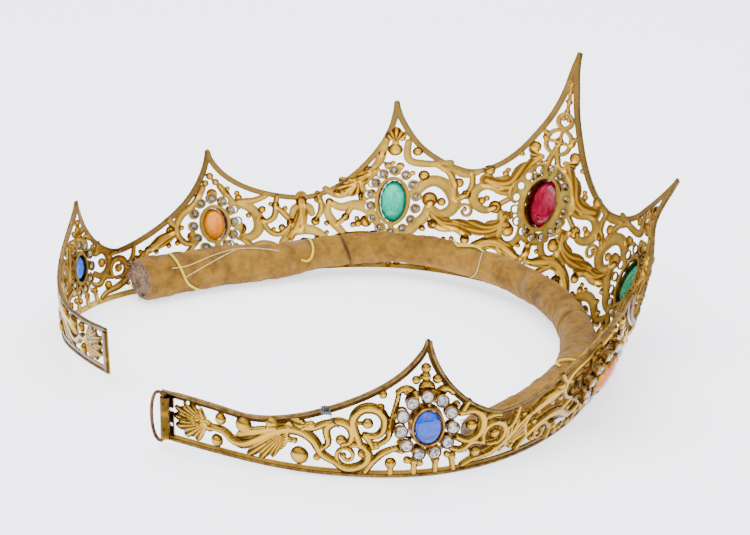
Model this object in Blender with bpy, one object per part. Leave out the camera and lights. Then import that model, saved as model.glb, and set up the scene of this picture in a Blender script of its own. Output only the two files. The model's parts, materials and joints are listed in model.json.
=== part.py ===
"""Seven-pointed gilt tiara with coloured stones and a sewn padding roll.

The band is drawn flat, as a sheet whose x runs along the band from the front
and whose y runs up it, and is then bent round the head line.
All sizes below are millimetres; the meshes are made in metres.
"""
import math

import bpy
import bmesh
import numpy as np
from mathutils import Matrix, Vector
from mathutils.geometry import delaunay_2d_cdt

MM = 0.001
GAP = 0.3                  # clear space between neighbouring pieces
SHEET_THICKNESS = 0.9      # the stamped brass with its solder
HALF_LENGTH = 247.0        # front to either end, along the band
RAIL_HALF_WIDTH = 0.7
BOTTOM_RAIL_WIDTH = 1.9
SMALLEST_GAP = 3.2         # square millimetres, smaller gaps are left closed
SIMPLIFY = 0.5             # how far an outline may be straightened
STATIONS_PER_POINT = 1     # of a scroll's middle line, for each of its hand-set points
SMALLEST_BOSS = 1.25       # smaller ones only raise the sheet where it is already solid
POINT_SPACING = 2.6        # of the points that carry the relief
LONGEST_EDGE = 8.0         # of an outline, so that it follows the bend
TIE_HALF_WIDTH = 0.55      # of the ties that hold loose parts of the drawing
PLATE_REACH = 3.3          # of the plain plate under a setting, past its stone
ORIGIN_SHIFT = (-2.97, 1.70, 0.0)   # of the drawing's zero to the middle of the base

# The line that the bottom edge follows on the surface, seen from above.
# columns: distance along from the front, x, y, height of the edge, lean outward in degrees
HEAD_LINE = (
    (-247.0, -21.6, 97.1, 2.4, -0.5),
    (-203.0, -61.0, 78.1, 0.4, -0.5),
    (-170.9, -82.8, 54.8, 0.0, -0.5),
    (-114.0, -84.2, 0.0, 0.0, 22.7),
    (-52.2, -48.2, -51.0, 0.0, 24.6),
    (0.0, 1.2, -67.2, 2.0, 19.8),
    (52.2, 49.6, -52.2, 1.2, 17.8),
    (114.0, 80.4, 0.0, 0.0, 19.9),
    (170.9, 84.8, 55.2, 0.0, 1.5),
    (200.4, 64.4, 76.0, 2.4, 1.5),
    (247.0, 19.2, 88.1, 6.3, 1.5),
)

# Panels of one half, outermost first.
# columns: number, distance from the front, tip height, curve exponent, outward bulge,
#          stone x, stone y, stone half width, stone half height, small stones round it
PANELS = (
    (1, 170.9, 39.6, 0.68, 0.0, -0.4, 15.4, 3.75, 4.8, 11),
    (2, 114.0, 47.6, 0.63, 0.8, 0.0, 20.0, 4.3, 5.9, 12),
    (3, 52.2, 61.6, 0.60, 1.5, 0.0, 24.0, 4.9, 7.8, 14),
    (4, 0.0, 86.6, 0.61, 2.8, 0.0, 31.2, 6.2, 8.8, 16),
)
# Low places of the top edge between panels: distance from the front, height.
VALLEYS = ((27.6, 38.2), (83.0, 26.8), (150.6, 17.1), (221.0, 14.0))
END_HEIGHT = 14.8

# Raised domes and discs.  columns: panel, x toward the front, y, radius
BOSSES = (
    (1, -57.4, 10.6, 1.7), (1, -58.6, 4.0, 1.8), (1, -50.3, 10.6, 2.4), (1, -41.8, 12.9, 2.0),
    (1, -34.2, 4.9, 2.5), (1, -61.0, 7.4, 1.5), (1, -23.0, 10.4, 1.5), (1, -17.2, 7.0, 1.5),
    (1, -16.0, 15.6, 1.5), (1, -12.7, 20.2, 1.2), (1, -13.8, 9.3, 1.2), (1, -9.9, 4.2, 1.6),
    (1, -6.8, 7.9, 1.1), (1, -3.5, 4.6, 1.3), (1, 2.6, 4.6, 1.3), (1, 7.4, 5.0, 1.3),
    (1, -0.2, 25.4, 2.4), (1, -3.2, 27.9, 1.2), (1, -0.5, 31.2, 1.4), (1, 2.6, 28.0, 1.3),
    (1, -0.5, 28.8, 1.4), (1, -5.4, 24.8, 1.3), (1, 4.2, 24.6, 1.3), (1, 12.5, 13.8, 1.7),
    (1, 8.1, 20.4, 1.1), (1, 19.8, 10.2, 1.5), (1, 14.4, 5.4, 1.6),
    (2, 0.0, 37.4, 1.3), (2, -1.8, 35.0, 1.2), (2, 1.8, 35.0, 1.2), (2, 0.0, 30.9, 1.9),
    (2, -5.0, 30.4, 1.2), (2, 5.0, 30.4, 1.2), (2, 8.5, 17.2, 2.2), (2, 16.6, 19.3, 1.2),
    (2, 21.6, 24.0, 1.4), (2, 30.6, 24.4, 1.9), (2, 26.5, 17.1, 1.6), (2, 35.1, 17.1, 1.6),
    (2, 36.2, 25.0, 1.3), (2, 30.6, 9.4, 2.2), (2, -15.9, 19.6, 1.7), (2, -24.6, 14.2, 1.4),
    (2, -8.6, 16.6, 1.8), (2, -14.0, 6.0, 1.8), (2, 14.0, 6.0, 1.8), (2, 0.0, 6.6, 1.5),
    (3, 0.0, 49.7, 1.3), (3, -1.9, 47.3, 1.2), (3, 1.9, 47.3, 1.2), (3, 0.0, 42.9, 2.3),
    (3, -1.9, 36.9, 1.4), (3, 1.9, 36.9, 1.4), (3, 9.8, 34.0, 1.9), (3, 7.0, 42.6, 1.6),
    (3, 12.6, 25.6, 2.7), (3, 16.8, 25.2, 1.5), (3, 14.6, 16.8, 1.8), (3, 21.8, 32.8, 1.7),
    (3, 25.0, 29.0, 1.7), (3, -4.1, 41.3, 1.2), (3, -8.2, 35.0, 1.7), (3, -10.6, 31.6, 2.1),
    (3, -13.6, 30.8, 1.5), (3, -18.9, 27.0, 1.3), (3, -9.8, 25.6, 2.0), (3, -8.9, 16.6, 2.2),
    (3, -16.1, 18.2, 1.5), (3, -21.6, 24.0, 1.3), (3, -16.0, 6.4, 1.8), (3, 15.0, 6.4, 1.8),
    (3, 0.0, 7.6, 1.5),
    (4, 0.0, 64.0, 1.9), (4, 0.0, 53.2, 1.4), (4, -4.9, 54.2, 1.2), (4, -7.6, 50.0, 2.0),
    (4, -1.8, 45.6, 1.2), (4, -5.0, 44.6, 1.2), (4, -21.0, 38.8, 1.9), (4, -7.8, 33.2, 1.8),
    (4, -9.8, 19.3, 2.4), (4, -16.4, 26.3, 2.3), (4, -10.4, 24.4, 1.4), (4, 0.0, 17.2, 1.5),
    (4, 0.0, 13.6, 1.6), (4, -16.9, 8.6, 2.4), (4, -24.8, 13.0, 1.8), (4, -4.6, 6.6, 1.5),
)

# The front panels have broader scrolls: share by which each panel's half widths grow.
BROADER = {1: 1.05, 2: 1.28, 3: 1.33, 4: 1.37}

# Scrolls, stems and pegs.
# columns: panel, half width at the start, middle and end, points x, y of the middle line
SCROLLS = (
    (1, (0.8, 1.6, 0.9), ((-60.6, 7.4), (-56.2, 7.2), (-54, 5.6), (-50.5, 5.2), (-45.8, 7.6), (-41, 10.6),
                          (-36.4, 12.2), (-32.5, 11.4), (-29.8, 9.0), (-28.2, 6.2), (-24.5, 4.0))),
    (1, (0.9, 1.2, 0.6), ((-24.5, 4.0), (-22, 2.4), (-17.5, 3.4), (-15.8, 6.4), (-17.6, 9.2), (-20.4, 9.0))),
    (1, (0.6, 1.1, 0.7), ((-28.6, 7.4), (-26.4, 9.4), (-26.9, 13), (-23.8, 15.6), (-20.4, 13.6),
                          (-20.6, 10.2), (-22.6, 9.2))),
    (1, (0.6, 0.9, 0.5), ((-34.2, 13.2), (-30.5, 13.2), (-27.5, 14.8), (-24.2, 15.8))),
    (1, (0.8, 1.3, 0.7), ((-17.8, 8.9), (-19, 12.2), (-19.9, 16.2), (-17.4, 19.6), (-13.4, 19.4),
                          (-11.4, 15.8), (-13.4, 12.2), (-16.8, 12.3))),
    (1, (0.7, 0.9, 0.7), ((-16.6, 1.6), (-14.6, 4.6), (-11.8, 7.2), (-8.2, 8.6))),
    (1, (0.6, 0.8, 0.6), ((-12.8, 9.8), (-10.6, 11.6), (-9.8, 15), (-8.9, 19), (-7.9, 23.8))),
    (1, (0.6, 0.8, 0.6), ((-14.6, 8.6), (-15.6, 10.6), (-17.0, 12.0))),
    (1, (0.7, 0.7, 0.7), ((-9.9, 4.2), (-9.9, 1.4))),
    (1, (0.7, 0.7, 0.7), ((-3.5, 4.6), (-3.5, 1.4))),
    (1, (0.7, 0.7, 0.7), ((2.6, 4.6), (2.6, 1.4))),
    (1, (0.7, 0.7, 0.7), ((7.2, 5.0), (8.0, 1.4))),
    (1, (0.7, 0.8, 0.7), ((-8.0, 24.6), (-6.0, 25.6), (-3.6, 24.4), (-3.0, 21.8))),
    (1, (0.7, 0.8, 0.7), ((6.8, 24.0), (5.0, 25.4), (3.0, 24.2), (2.4, 21.8))),
    (1, (0.6, 1.3, 0.9), ((6.6, 20.0), (9.2, 17.8), (12.8, 18.2), (15.8, 15.4), (15.2, 11.2),
                          (11.8, 9.4), (8.2, 11.0))),
    (1, (0.8, 0.8, 0.8), ((9.6, 18.0), (11.4, 21.0))),
    (1, (0.7, 1.0, 0.7), ((7.0, 7.6), (10.4, 6.8), (12.8, 8.4), (16.6, 7.8))),
    (1, (0.6, 1.1, 0.6), ((16.8, 7.6), (16.4, 11.0), (18.6, 13.4), (21.8, 12.8), (23, 10),
                          (21.6, 7.4), (18.2, 7.2))),
    (1, (0.7, 1.1, 0.8), ((10.6, 2.0), (13.4, 3.2), (17.6, 3.8), (22, 5.6), (26, 9.4), (30.6, 13.4))),
    (1, (0.6, 0.8, 0.6), ((15.8, 15.2), (18.8, 16.0), (21, 15.8))),
    (1, (0.6, 0.8, 0.6), ((23, 10.6), (25.6, 12.2), (27, 16.8))),
    (2, (0.8, 0.9, 0.7), ((-3.0, 33.4), (-4.6, 30.6), (-7.0, 27.6), (-10.6, 25.2), (-13.4, 21.6),
                          (-13.4, 17.2), (-10.8, 14.4), (-7.6, 14.2))),
    (2, (0.6, 0.8, 0.6), ((-14.4, 21.0), (-16.6, 23.6))),
    (2, (0.9, 1.5, 0.8), ((-14.6, 18.6), (-18.4, 17.2), (-22.0, 15.2), (-25.0, 13.8))),
    (2, (0.6, 0.8, 0.6), ((-24.6, 14.2), (-26.6, 10.6), (-25.0, 6.2))),
    (2, (0.7, 0.9, 0.7), ((3.0, 33.4), (4.6, 30.6), (6.6, 27.2), (8.6, 25.0))),
    (2, (0.7, 0.9, 0.7), ((6.4, 26.2), (9.6, 26.8), (13.4, 26.6), (18.2, 27.8))),
    (2, (0.9, 1.4, 0.9), ((9.2, 26.0), (12.6, 24.2), (15.0, 20.6), (14.8, 16.2), (11.6, 13.8), (7.8, 14.4))),
    (2, (0.6, 0.8, 0.6), ((15.2, 20.0), (17.2, 18.6), (20.6, 19.8), (21.6, 24.0), (22.4, 27.4))),
    (2, (0.8, 1.1, 0.8), ((27.2, 20.0), (28.1, 22.1), (30.6, 22.8), (33.1, 22.1), (34.0, 20.0))),
    (2, (1.3, 1.2, 0.9), ((30.6, 26.6), (30.6, 20.4), (30.6, 14.4))),
    (2, (0.9, 1.3, 0.9), ((22.8, 10.6), (26.2, 13.4), (30.6, 14.4), (35.0, 13.4), (38.6, 10.6))),
    (2, (0.6, 0.8, 0.6), ((21.9, 23.2), (24.4, 20.6), (26.4, 17.6))),
    (2, (0.6, 0.8, 0.6), ((36.2, 27.4), (37.4, 21.6), (35.4, 17.8))),
    (2, (0.6, 0.7, 0.6), ((16.8, 18.6), (18.6, 15.0), (22.4, 13.6), (26.4, 16.6))),
    (2, (0.7, 1.2, 0.7), ((-28, 3.0), (-24.6, 6.6), (-19, 9.6), (-12.4, 9.8), (-6.4, 6.6), (-1.0, 9.8))),
    (2, (0.7, 1.2, 0.7), ((1.0, 9.8), (6.4, 6.6), (12.4, 9.8), (19, 9.6), (25.4, 6.6), (30.6, 9.4))),
    (2, (0.7, 0.7, 0.7), ((-14, 6), (-14, 1.4))),
    (2, (0.7, 0.7, 0.7), ((14, 6), (14, 1.4))),
    (2, (0.7, 0.7, 0.7), ((0, 14.2), (0, 1.4))),
    (2, (0.7, 0.7, 0.7), ((30.6, 9.4), (30.6, 1.4))),
    (2, (0.6, 0.7, 0.6), ((-7.6, 14.2), (-11, 11), (-12.6, 9.6))),
    (2, (0.6, 0.7, 0.6), ((7.8, 14.4), (11, 11.4), (12.6, 9.6))),
    (3, (0.7, 0.9, 0.7), ((4.0, 46.0), (3.8, 41.6), (5.0, 39.0), (9, 38.3), (13, 38.5), (18.0, 39.6))),
    (3, (0.6, 0.8, 0.6), ((12.6, 38.4), (17.2, 36.6), (19.6, 33.6), (20.8, 30.2), (21.0, 27.2))),
    (3, (1.2, 1.5, 1.1), ((7.2, 27.2), (9.8, 30.6), (13.4, 32.4), (17.6, 31.2), (20.4, 28.2),
                          (21.4, 24.4), (19.2, 21.4), (16.4, 20.6), (13.0, 22.6))),
    (3, (1.1, 1.3, 1.0), ((12.8, 24.0), (11.6, 19.2), (8.4, 15.6), (5.6, 13.0), (0.4, 12.6))),
    (3, (0.6, 0.8, 0.6), ((25.0, 29.0), (21.8, 26.6))),
    (3, (0.6, 0.7, 0.6), ((25.0, 29.0), (26.4, 32.6), (25.6, 37.0))),
    (3, (0.7, 0.9, 0.6), ((16.0, 37.0), (19.6, 37.0), (23.4, 36.0), (27.8, 37.6))),
    (3, (0.8, 1.0, 0.8), ((14.8, 16.6), (18.6, 15.8), (22.6, 16.4), (27.4, 14.4))),
    (3, (0.8, 1.0, 0.7), ((-3.0, 46.4), (-4.0, 42.0), (-5.2, 38.0), (-8.0, 34.8))),
    (3, (0.7, 0.9, 0.7), ((-12.6, 30.0), (-15.4, 27.0), (-19.0, 26.4), (-22.8, 28.8))),
    (3, (0.8, 1.3, 0.8), ((-3.4, 13.2), (-6.4, 18.4), (-9.2, 21.4), (-13.2, 22.5), (-17.4, 21.8), (-21.6, 24.0))),
    (3, (0.7, 1.1, 0.7), ((-21.8, 23.6), (-22.2, 19.6), (-19.0, 14.6), (-15.8, 11.2))),
    (3, (0.6, 0.8, 0.6), ((-9.8, 25.6), (-6.0, 26.0))),
    (3, (0.6, 0.8, 0.6), ((-9.8, 27.0), (-10.4, 29.6))),
    (3, (0.7, 0.7, 0.6), ((-14.0, 22.2), (-16.2, 18.2), (-19.2, 15.8))),
    (3, (0.7, 1.2, 0.7), ((-31.2, 9.4), (-26.4, 6.0), (-20.6, 9.8), (-13, 10.4), (-6.4, 7), (-1.0, 10.6))),
    (3, (0.7, 1.2, 0.7), ((1.0, 10.6), (6.4, 7), (13, 10.4), (20, 9.4), (26, 5.4), (33.6, 8.6))),
    (3, (0.7, 0.7, 0.7), ((-16, 6.4), (-16, 1.4))),
    (3, (0.7, 0.7, 0.7), ((15, 6.4), (15, 1.4))),
    (3, (0.7, 0.7, 0.7), ((0, 16.0), (0, 1.4))),
    (4, (0.7, 0.7, 0.6), ((0, 65.2), (-0.4, 69.4), (0, 76.6))),
    (4, (0.9, 0.9, 0.9), ((0, 62.7), (-2.1, 60.8), (-1.3, 58.4), (0, 57.8))),
    (4, (0.8, 0.9, 0.9), ((0, 57.4), (-4, 57.7), (-7.0, 57.4))),
    (4, (0.7, 0.9, 0.6), ((-7.0, 57.0), (-7.4, 53.2), (-5.2, 50.0), (0, 49.2))),
    (4, (0.6, 0.7, 0.6), ((0, 52.4), (-0.6, 49.4), (-1.8, 45.8), (-0.8, 40.0))),
    (4, (0.6, 0.6, 0.6), ((-1.8, 45.6), (-5.0, 44.6), (-7.2, 45.2))),
    (4, (0.6, 0.9, 0.8), ((-10.0, 29.8), (-12.4, 32.0), (-11.8, 35.5), (-8.7, 37.6), (-6.4, 36.0),
                          (-6.8, 31.5), (-6.8, 26.6), (-4.7, 20.8), (-5.7, 15.9), (-9, 14.2),
                          (-12.4, 16.2), (-12.6, 20.2), (-10.4, 21.2))),
    (4, (0.7, 0.9, 0.6), ((-12.6, 20.0), (-13.6, 24.0), (-14.4, 25.4))),
    (4, (0.7, 1.2, 0.7), ((-17.6, 32.6), (-21.6, 33.0), (-24.6, 30.0), (-23.2, 26.0), (-19.4, 24.6),
                          (-17.0, 26.0))),
    (4, (0.7, 0.7, 0.7), ((-13.0, 34.0), (-17.0, 32.4))),
    (4, (0.6, 0.6, 0.6), ((-11.4, 30.6), (-14.6, 28.0))),
    (4, (0.7, 1.5, 0.9), ((-1.0, 10.8), (-7, 12.0), (-11.6, 14.0), (-16.6, 13.2), (-20.4, 10.4),
                          (-23.2, 6.6), (-27, 2.0))),
    (4, (0.7, 0.9, 0.7), ((-16.9, 8.6), (-16.9, 1.4))),
    (4, (0.7, 0.8, 0.7), ((-4.6, 6.6), (-4.6, 1.4))),
    (4, (0.6, 0.8, 0.6), ((0, 22.6), (0, 17.0), (-0.8, 11.0))),
    (4, (0.6, 0.7, 0.6), ((-4.8, 19.6), (-2.4, 17.8), (0, 17.2))),
    (4, (0.6, 0.7, 0.6), ((-4.6, 6.6), (-8, 9.4), (-12, 12.6))),
)

# Acanthus leaves.  columns: panel, half width, lobes on a side, points x, y from root to tip
LEAVES = (
    (1, 5.2, 5, ((-59.8, 7.3), (-63, 7.3), (-67, 7.3), (-73.6, 7.3))),
    (1, 2.6, 4, ((-51, 4.6), (-45, 6.6), (-40, 10.2), (-34, 13.6))),
    (2, 1.8, 3, ((-14.2, 18.4), (-19, 16.6), (-24.6, 14.4))),
    (3, 2.6, 3, ((-6.2, 34.0), (-9.6, 32.2), (-14.8, 30.2))),
    (4, 3.2, 4, ((-21.4, 35.2), (-16.4, 34.2), (-12.4, 35.4), (-9.8, 39.4), (-7.6, 43.4), (-5.0, 47.2))),
    (4, 2.6, 4, ((-13.4, 24.0), (-14.6, 20.0), (-18.4, 17.8), (-23, 18.4), (-30.2, 19.8))),
)

# Setting of a stone: the collet wall, the small stones and their cups.
COLLET_WALL = 0.9
COLLET_HEIGHT = 3.4
STONE_LIFT = 2.8
FLANGE_THICKNESS = 0.6
SETTING_BASE = 0.65        # of the flange above the plain sheet
SMALL_CUP_INSET = 1.1      # the cups' middles past the flange's edge
SMALL_CUP_RADIUS = 1.75
SMALL_TABLE_RADIUS = 0.95
SMALL_STONE_HEIGHT = 2.6
SMALL_RING_OFFSET = 2.35   # reach of the flange that ties the cups to the collet

# The wire loop that is caught in the folded near end.
LOOP_WIRE = 0.5            # radius of the wire
LOOP_REACH = 4.0           # middle of the hidden leg to the middle of the bow
LOOP_BOTTOM, LOOP_TOP = 0.0, 14.6
HINGE_INSET = 1.1          # of the hinge line from the band's end
HINGE_OUT = 1.45           # of the hinge line from the sheet's outer face
FOLD_BORE = 0.85
FOLD_RADIUS = 1.75
FOLD_LENGTH = 3.4
FOLD_LOW, FOLD_HIGH = 1.0, 13.4

# Padding roll inside the lower edge.
# columns: distance along, radius, height of its middle
ROLL = (
    (-153.0, 5.8, 5.9), (-140.0, 6.3, 6.4), (-114.0, 6.5, 6.6), (-80.0, 6.3, 6.4), (-52.2, 6.0, 6.8),
    (-25.0, 5.7, 8.6), (0.0, 5.6, 9.6), (26.0, 5.6, 10.4), (52.2, 5.6, 10.6), (75.0, 5.8, 9.0),
    (95.0, 6.6, 7.2), (114.0, 7.2, 7.3), (140.5, 7.6, 7.7),
    (149.5, 8.0, 8.1),
)

# A wrap of thin wire on the top rail, near the near end: distance along, turns, wire radius.
WRAP_PLACE, WRAP_TURNS, WRAP_WIRE, WRAP_ROOM = -197.8, 2.5, 0.3, 0.7

COLOURS = {
    # name: (red, green, blue), metallic, roughness, transmission
    "gilt_brass": ((0.52, 0.33, 0.09), 1.0, 0.38, 0.0),
    "setting_brass": ((0.58, 0.36, 0.10), 1.0, 0.34, 0.0),
    "copper_wire": ((0.20, 0.12, 0.08), 0.9, 0.45, 0.0),
    "steel_wire": ((0.16, 0.16, 0.17), 0.9, 0.45, 0.0),
    "chamois": ((0.42, 0.29, 0.12), 0.0, 0.85, 0.0),
    "glass_blue": ((0.05, 0.19, 0.72), 0.0, 0.08, 0.5),
    "glass_amber": ((0.85, 0.35, 0.06), 0.0, 0.08, 0.5),
    "glass_green": ((0.05, 0.55, 0.40), 0.0, 0.08, 0.5),
    "glass_ruby": ((0.70, 0.02, 0.14), 0.0, 0.08, 0.5),
}
STONE_COLOURS = {1: "glass_blue", 2: "glass_amber", 3: "glass_green", 4: "glass_ruby"}


def clear_scene():
    for old in list(bpy.data.objects):
        bpy.data.objects.remove(old, do_unlink=True)


def collection(name):
    made = bpy.data.collections.new(name)
    bpy.context.scene.collection.children.link(made)
    return made


def material(name):
    found = bpy.data.materials.get(name)
    if found:
        return found
    colour, metallic, roughness, transmission = COLOURS[name]
    made = bpy.data.materials.new(name)
    made.use_nodes = True
    shader = made.node_tree.nodes["Principled BSDF"]
    shader.inputs["Base Color"].default_value = (*colour, 1.0)
    shader.inputs["Metallic"].default_value = metallic
    shader.inputs["Roughness"].default_value = roughness
    shader.inputs["Transmission Weight"].default_value = transmission
    return made


def finished(name, mesh, surface, place, pivot=(0.0, 0.0, 0.0), smooth=False):
    """Link a mesh as a named object with its material and its origin on the pivot.

    Its millimetres become metres.
    """
    mesh.transform(Matrix.Translation(-Vector(pivot)))
    mesh.transform(Matrix.Scale(MM, 4))
    mesh.materials.clear()
    mesh.materials.append(material(surface))
    if smooth:
        mesh.shade_smooth()
        mesh.set_sharp_from_angle(angle=math.radians(50))
    item = bpy.data.objects.new(name, mesh)
    item.location = Vector(pivot) * MM
    place.objects.link(item)
    return item


# Curves

def natural_spline(knots, values):
    """Second derivatives of the natural cubic spline through the values."""
    count = len(knots)
    step = np.diff(knots)
    matrix = np.eye(count)
    right = np.zeros_like(values)
    for k in range(1, count - 1):
        matrix[k, k - 1:k + 2] = step[k - 1], 2 * (step[k - 1] + step[k]), step[k]
        right[k] = 6 * ((values[k + 1] - values[k]) / step[k] - (values[k] - values[k - 1]) / step[k - 1])
    return np.linalg.solve(matrix, right)


def along_spline(knots, values, bends, place):
    """Point and slope of that spline at each place."""
    k = np.clip(np.searchsorted(knots, place) - 1, 0, len(knots) - 2)
    width = (knots[k + 1] - knots[k])[:, None]
    t = (place - knots[k])[:, None] / width
    s = 1 - t
    point = (s * values[k] + t * values[k + 1]
             + width ** 2 / 6 * ((s ** 3 - s) * bends[k] + (t ** 3 - t) * bends[k + 1]))
    slope = ((values[k + 1] - values[k]) / width
             + width / 6 * (-(3 * s ** 2 - 1) * bends[k] + (3 * t ** 2 - 1) * bends[k + 1]))
    return point, slope


def through(points, count):
    """A smooth line through hand-set points, with a given number of stations."""
    points = np.array(points, float)
    if len(points) == 2:
        t = np.linspace(0, 1, 2)[:, None]
        return points[0] * (1 - t) + points[1] * t
    knots = np.r_[0, np.cumsum(np.linalg.norm(np.diff(points, axis=0), axis=1) ** 0.5)]
    bends = natural_spline(knots, points)
    return along_spline(knots, points, bends, np.linspace(0, knots[-1], count))[0]


def sideways(line):
    """Unit normals of a line in the plane."""
    run = np.gradient(line, axis=0)
    run /= np.linalg.norm(run, axis=1)[:, None]
    return np.stack([-run[:, 1], run[:, 0]], axis=1)


# The bent surface

HEAD = np.array(HEAD_LINE)
HEAD_BENDS = natural_spline(HEAD[:, 0], HEAD[:, 1:3])
PANEL = {row[0]: row for row in PANELS}
PANEL_AT = np.array([-row[1] for row in PANELS] + [row[1] for row in PANELS[-2::-1]])
PANEL_TALL = np.array([row[2] for row in PANELS] + [row[2] for row in PANELS[-2::-1]])
PANEL_BULGE = np.array([row[4] for row in PANELS] + [row[4] for row in PANELS[-2::-1]])


def frame_at(along, high):
    """Point on the sheet's outer face and its outward normal, up direction and tangent."""
    along = np.atleast_1d(np.asarray(along, float))
    high = np.atleast_1d(np.asarray(high, float))
    point, slope = along_spline(HEAD[:, 0], HEAD[:, 1:3], HEAD_BENDS, along)
    run = slope / np.linalg.norm(slope, axis=1)[:, None]
    out = np.stack([run[:, 1], -run[:, 0]], axis=1)
    lean = np.radians(np.interp(along, HEAD[:, 0], HEAD[:, 4]))
    lift = np.interp(along, HEAD[:, 0], HEAD[:, 3])
    tall = np.interp(along, PANEL_AT, PANEL_TALL)
    bulge = np.interp(along, PANEL_AT, PANEL_BULGE)
    share = high / tall
    offset = high * np.sin(lean) + 4 * bulge * share * (1 - share)
    turned = lean + np.arctan(4 * bulge / tall * (1 - 2 * share))
    spot = np.column_stack([point + out * offset[:, None], lift + high * np.cos(lean)])
    normal = np.column_stack([out * np.cos(turned)[:, None], -np.sin(turned)])
    up = np.column_stack([out * np.sin(turned)[:, None], np.cos(turned)])
    tangent = np.column_stack([run, np.zeros(len(run))])
    return spot - np.array(ORIGIN_SHIFT), normal, up, tangent


def on_band(along, high, outward):
    spot, normal, _, _ = frame_at(along, high)
    return spot + normal * np.atleast_1d(outward)[:, None]


def bend(mesh):
    """Take a mesh from the flat sheet (x along, y up, z outward) to its place on the band."""
    flat = np.empty(len(mesh.vertices) * 3)
    mesh.vertices.foreach_get("co", flat)
    flat = flat.reshape(-1, 3)
    mesh.vertices.foreach_set("co", on_band(flat[:, 0], flat[:, 1], flat[:, 2]).ravel())
    mesh.update()


# The drawing of the flat sheet

def both_halves(rows, width_column=None):
    """Rows of a half as (along, points, rest) on both halves; panel 4's middle rows once."""
    for row in rows:
        at = PANEL[row[0]][1]
        for side in (-1, 1):
            yield side, at, row


def top_edge():
    """Middle line of the top rail, end to end: each side of a panel is a hollow astroid arc."""
    half = []
    low = list(VALLEYS)[::-1]
    for number, (_, at, tall, power, *_) in enumerate(PANELS):
        outer_at, outer_low = low[number]
        inner_at, inner_low = low[number + 1] if number < 3 else (None, None)
        turn = np.linspace(0, math.pi / 2, 10)
        rise = tall - outer_low
        side_x = -at - (outer_at - at) * np.cos(turn) ** (2 / power)
        side_y = outer_low + rise * np.sin(turn) ** (2 / power)
        half.append(np.column_stack([side_x, side_y]))
        if inner_at is not None:
            side_x = -at + (at - inner_at) * np.cos(turn[::-1]) ** (2 / power)
            side_y = inner_low + (tall - inner_low) * np.sin(turn[::-1]) ** (2 / power)
            half.append(np.column_stack([side_x, side_y])[1:-1])
    tail_x = np.linspace(-HALF_LENGTH, -VALLEYS[-1][0], 6)[:-1]
    tail_y = np.interp(tail_x, (-HALF_LENGTH, -VALLEYS[-1][0]), (END_HEIGHT, VALLEYS[-1][1]))
    left = np.vstack([np.column_stack([tail_x, tail_y])] + half)
    left[:, 1] -= RAIL_HALF_WIDTH
    right = left[-2::-1] * (-1, 1)
    return np.vstack([left, right])


def strip(line, half_width):
    """Triangles that cover a line with the given half widths."""
    side = sideways(line) * np.broadcast_to(half_width, len(line))[:, None]
    return between(line + side, line - side)


def between(left, right):
    """Triangles between two rows of points; a twisted place still gives plain triangles."""
    pieces = []
    for k in range(len(left) - 1):
        pieces.append(np.array([left[k], right[k], right[k + 1]]))
        pieces.append(np.array([left[k], right[k + 1], left[k + 1]]))
    return [piece for piece in pieces if abs(loop_area(piece)) > 0.004]


def disc(x, y, radius, sides):
    turn = np.arange(sides) * 2 * math.pi / sides + math.pi / sides
    return np.column_stack([x + radius * np.cos(turn), y + radius * np.sin(turn)])


def oval(x, y, half_wide, half_tall, sides):
    turn = np.arange(sides) * 2 * math.pi / sides
    return np.column_stack([x + half_wide * np.cos(turn), y + half_tall * np.sin(turn)])


def leaf_outline(points, half_width, lobes):
    """Leaf with pointed lobes: the half width swells along the midrib and dips between lobes."""
    count = 2 * lobes + 3
    line = through(points, count)
    t = np.linspace(0, 1, count)
    swell = np.sin(math.pi * t ** 0.7) ** 0.8
    notch = np.where(np.arange(count) % 2 == 1, 1.0, 0.72)
    side = sideways(line) * (half_width * swell * notch + 0.25)[:, None]
    return line, between(line + side, line - side)


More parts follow.
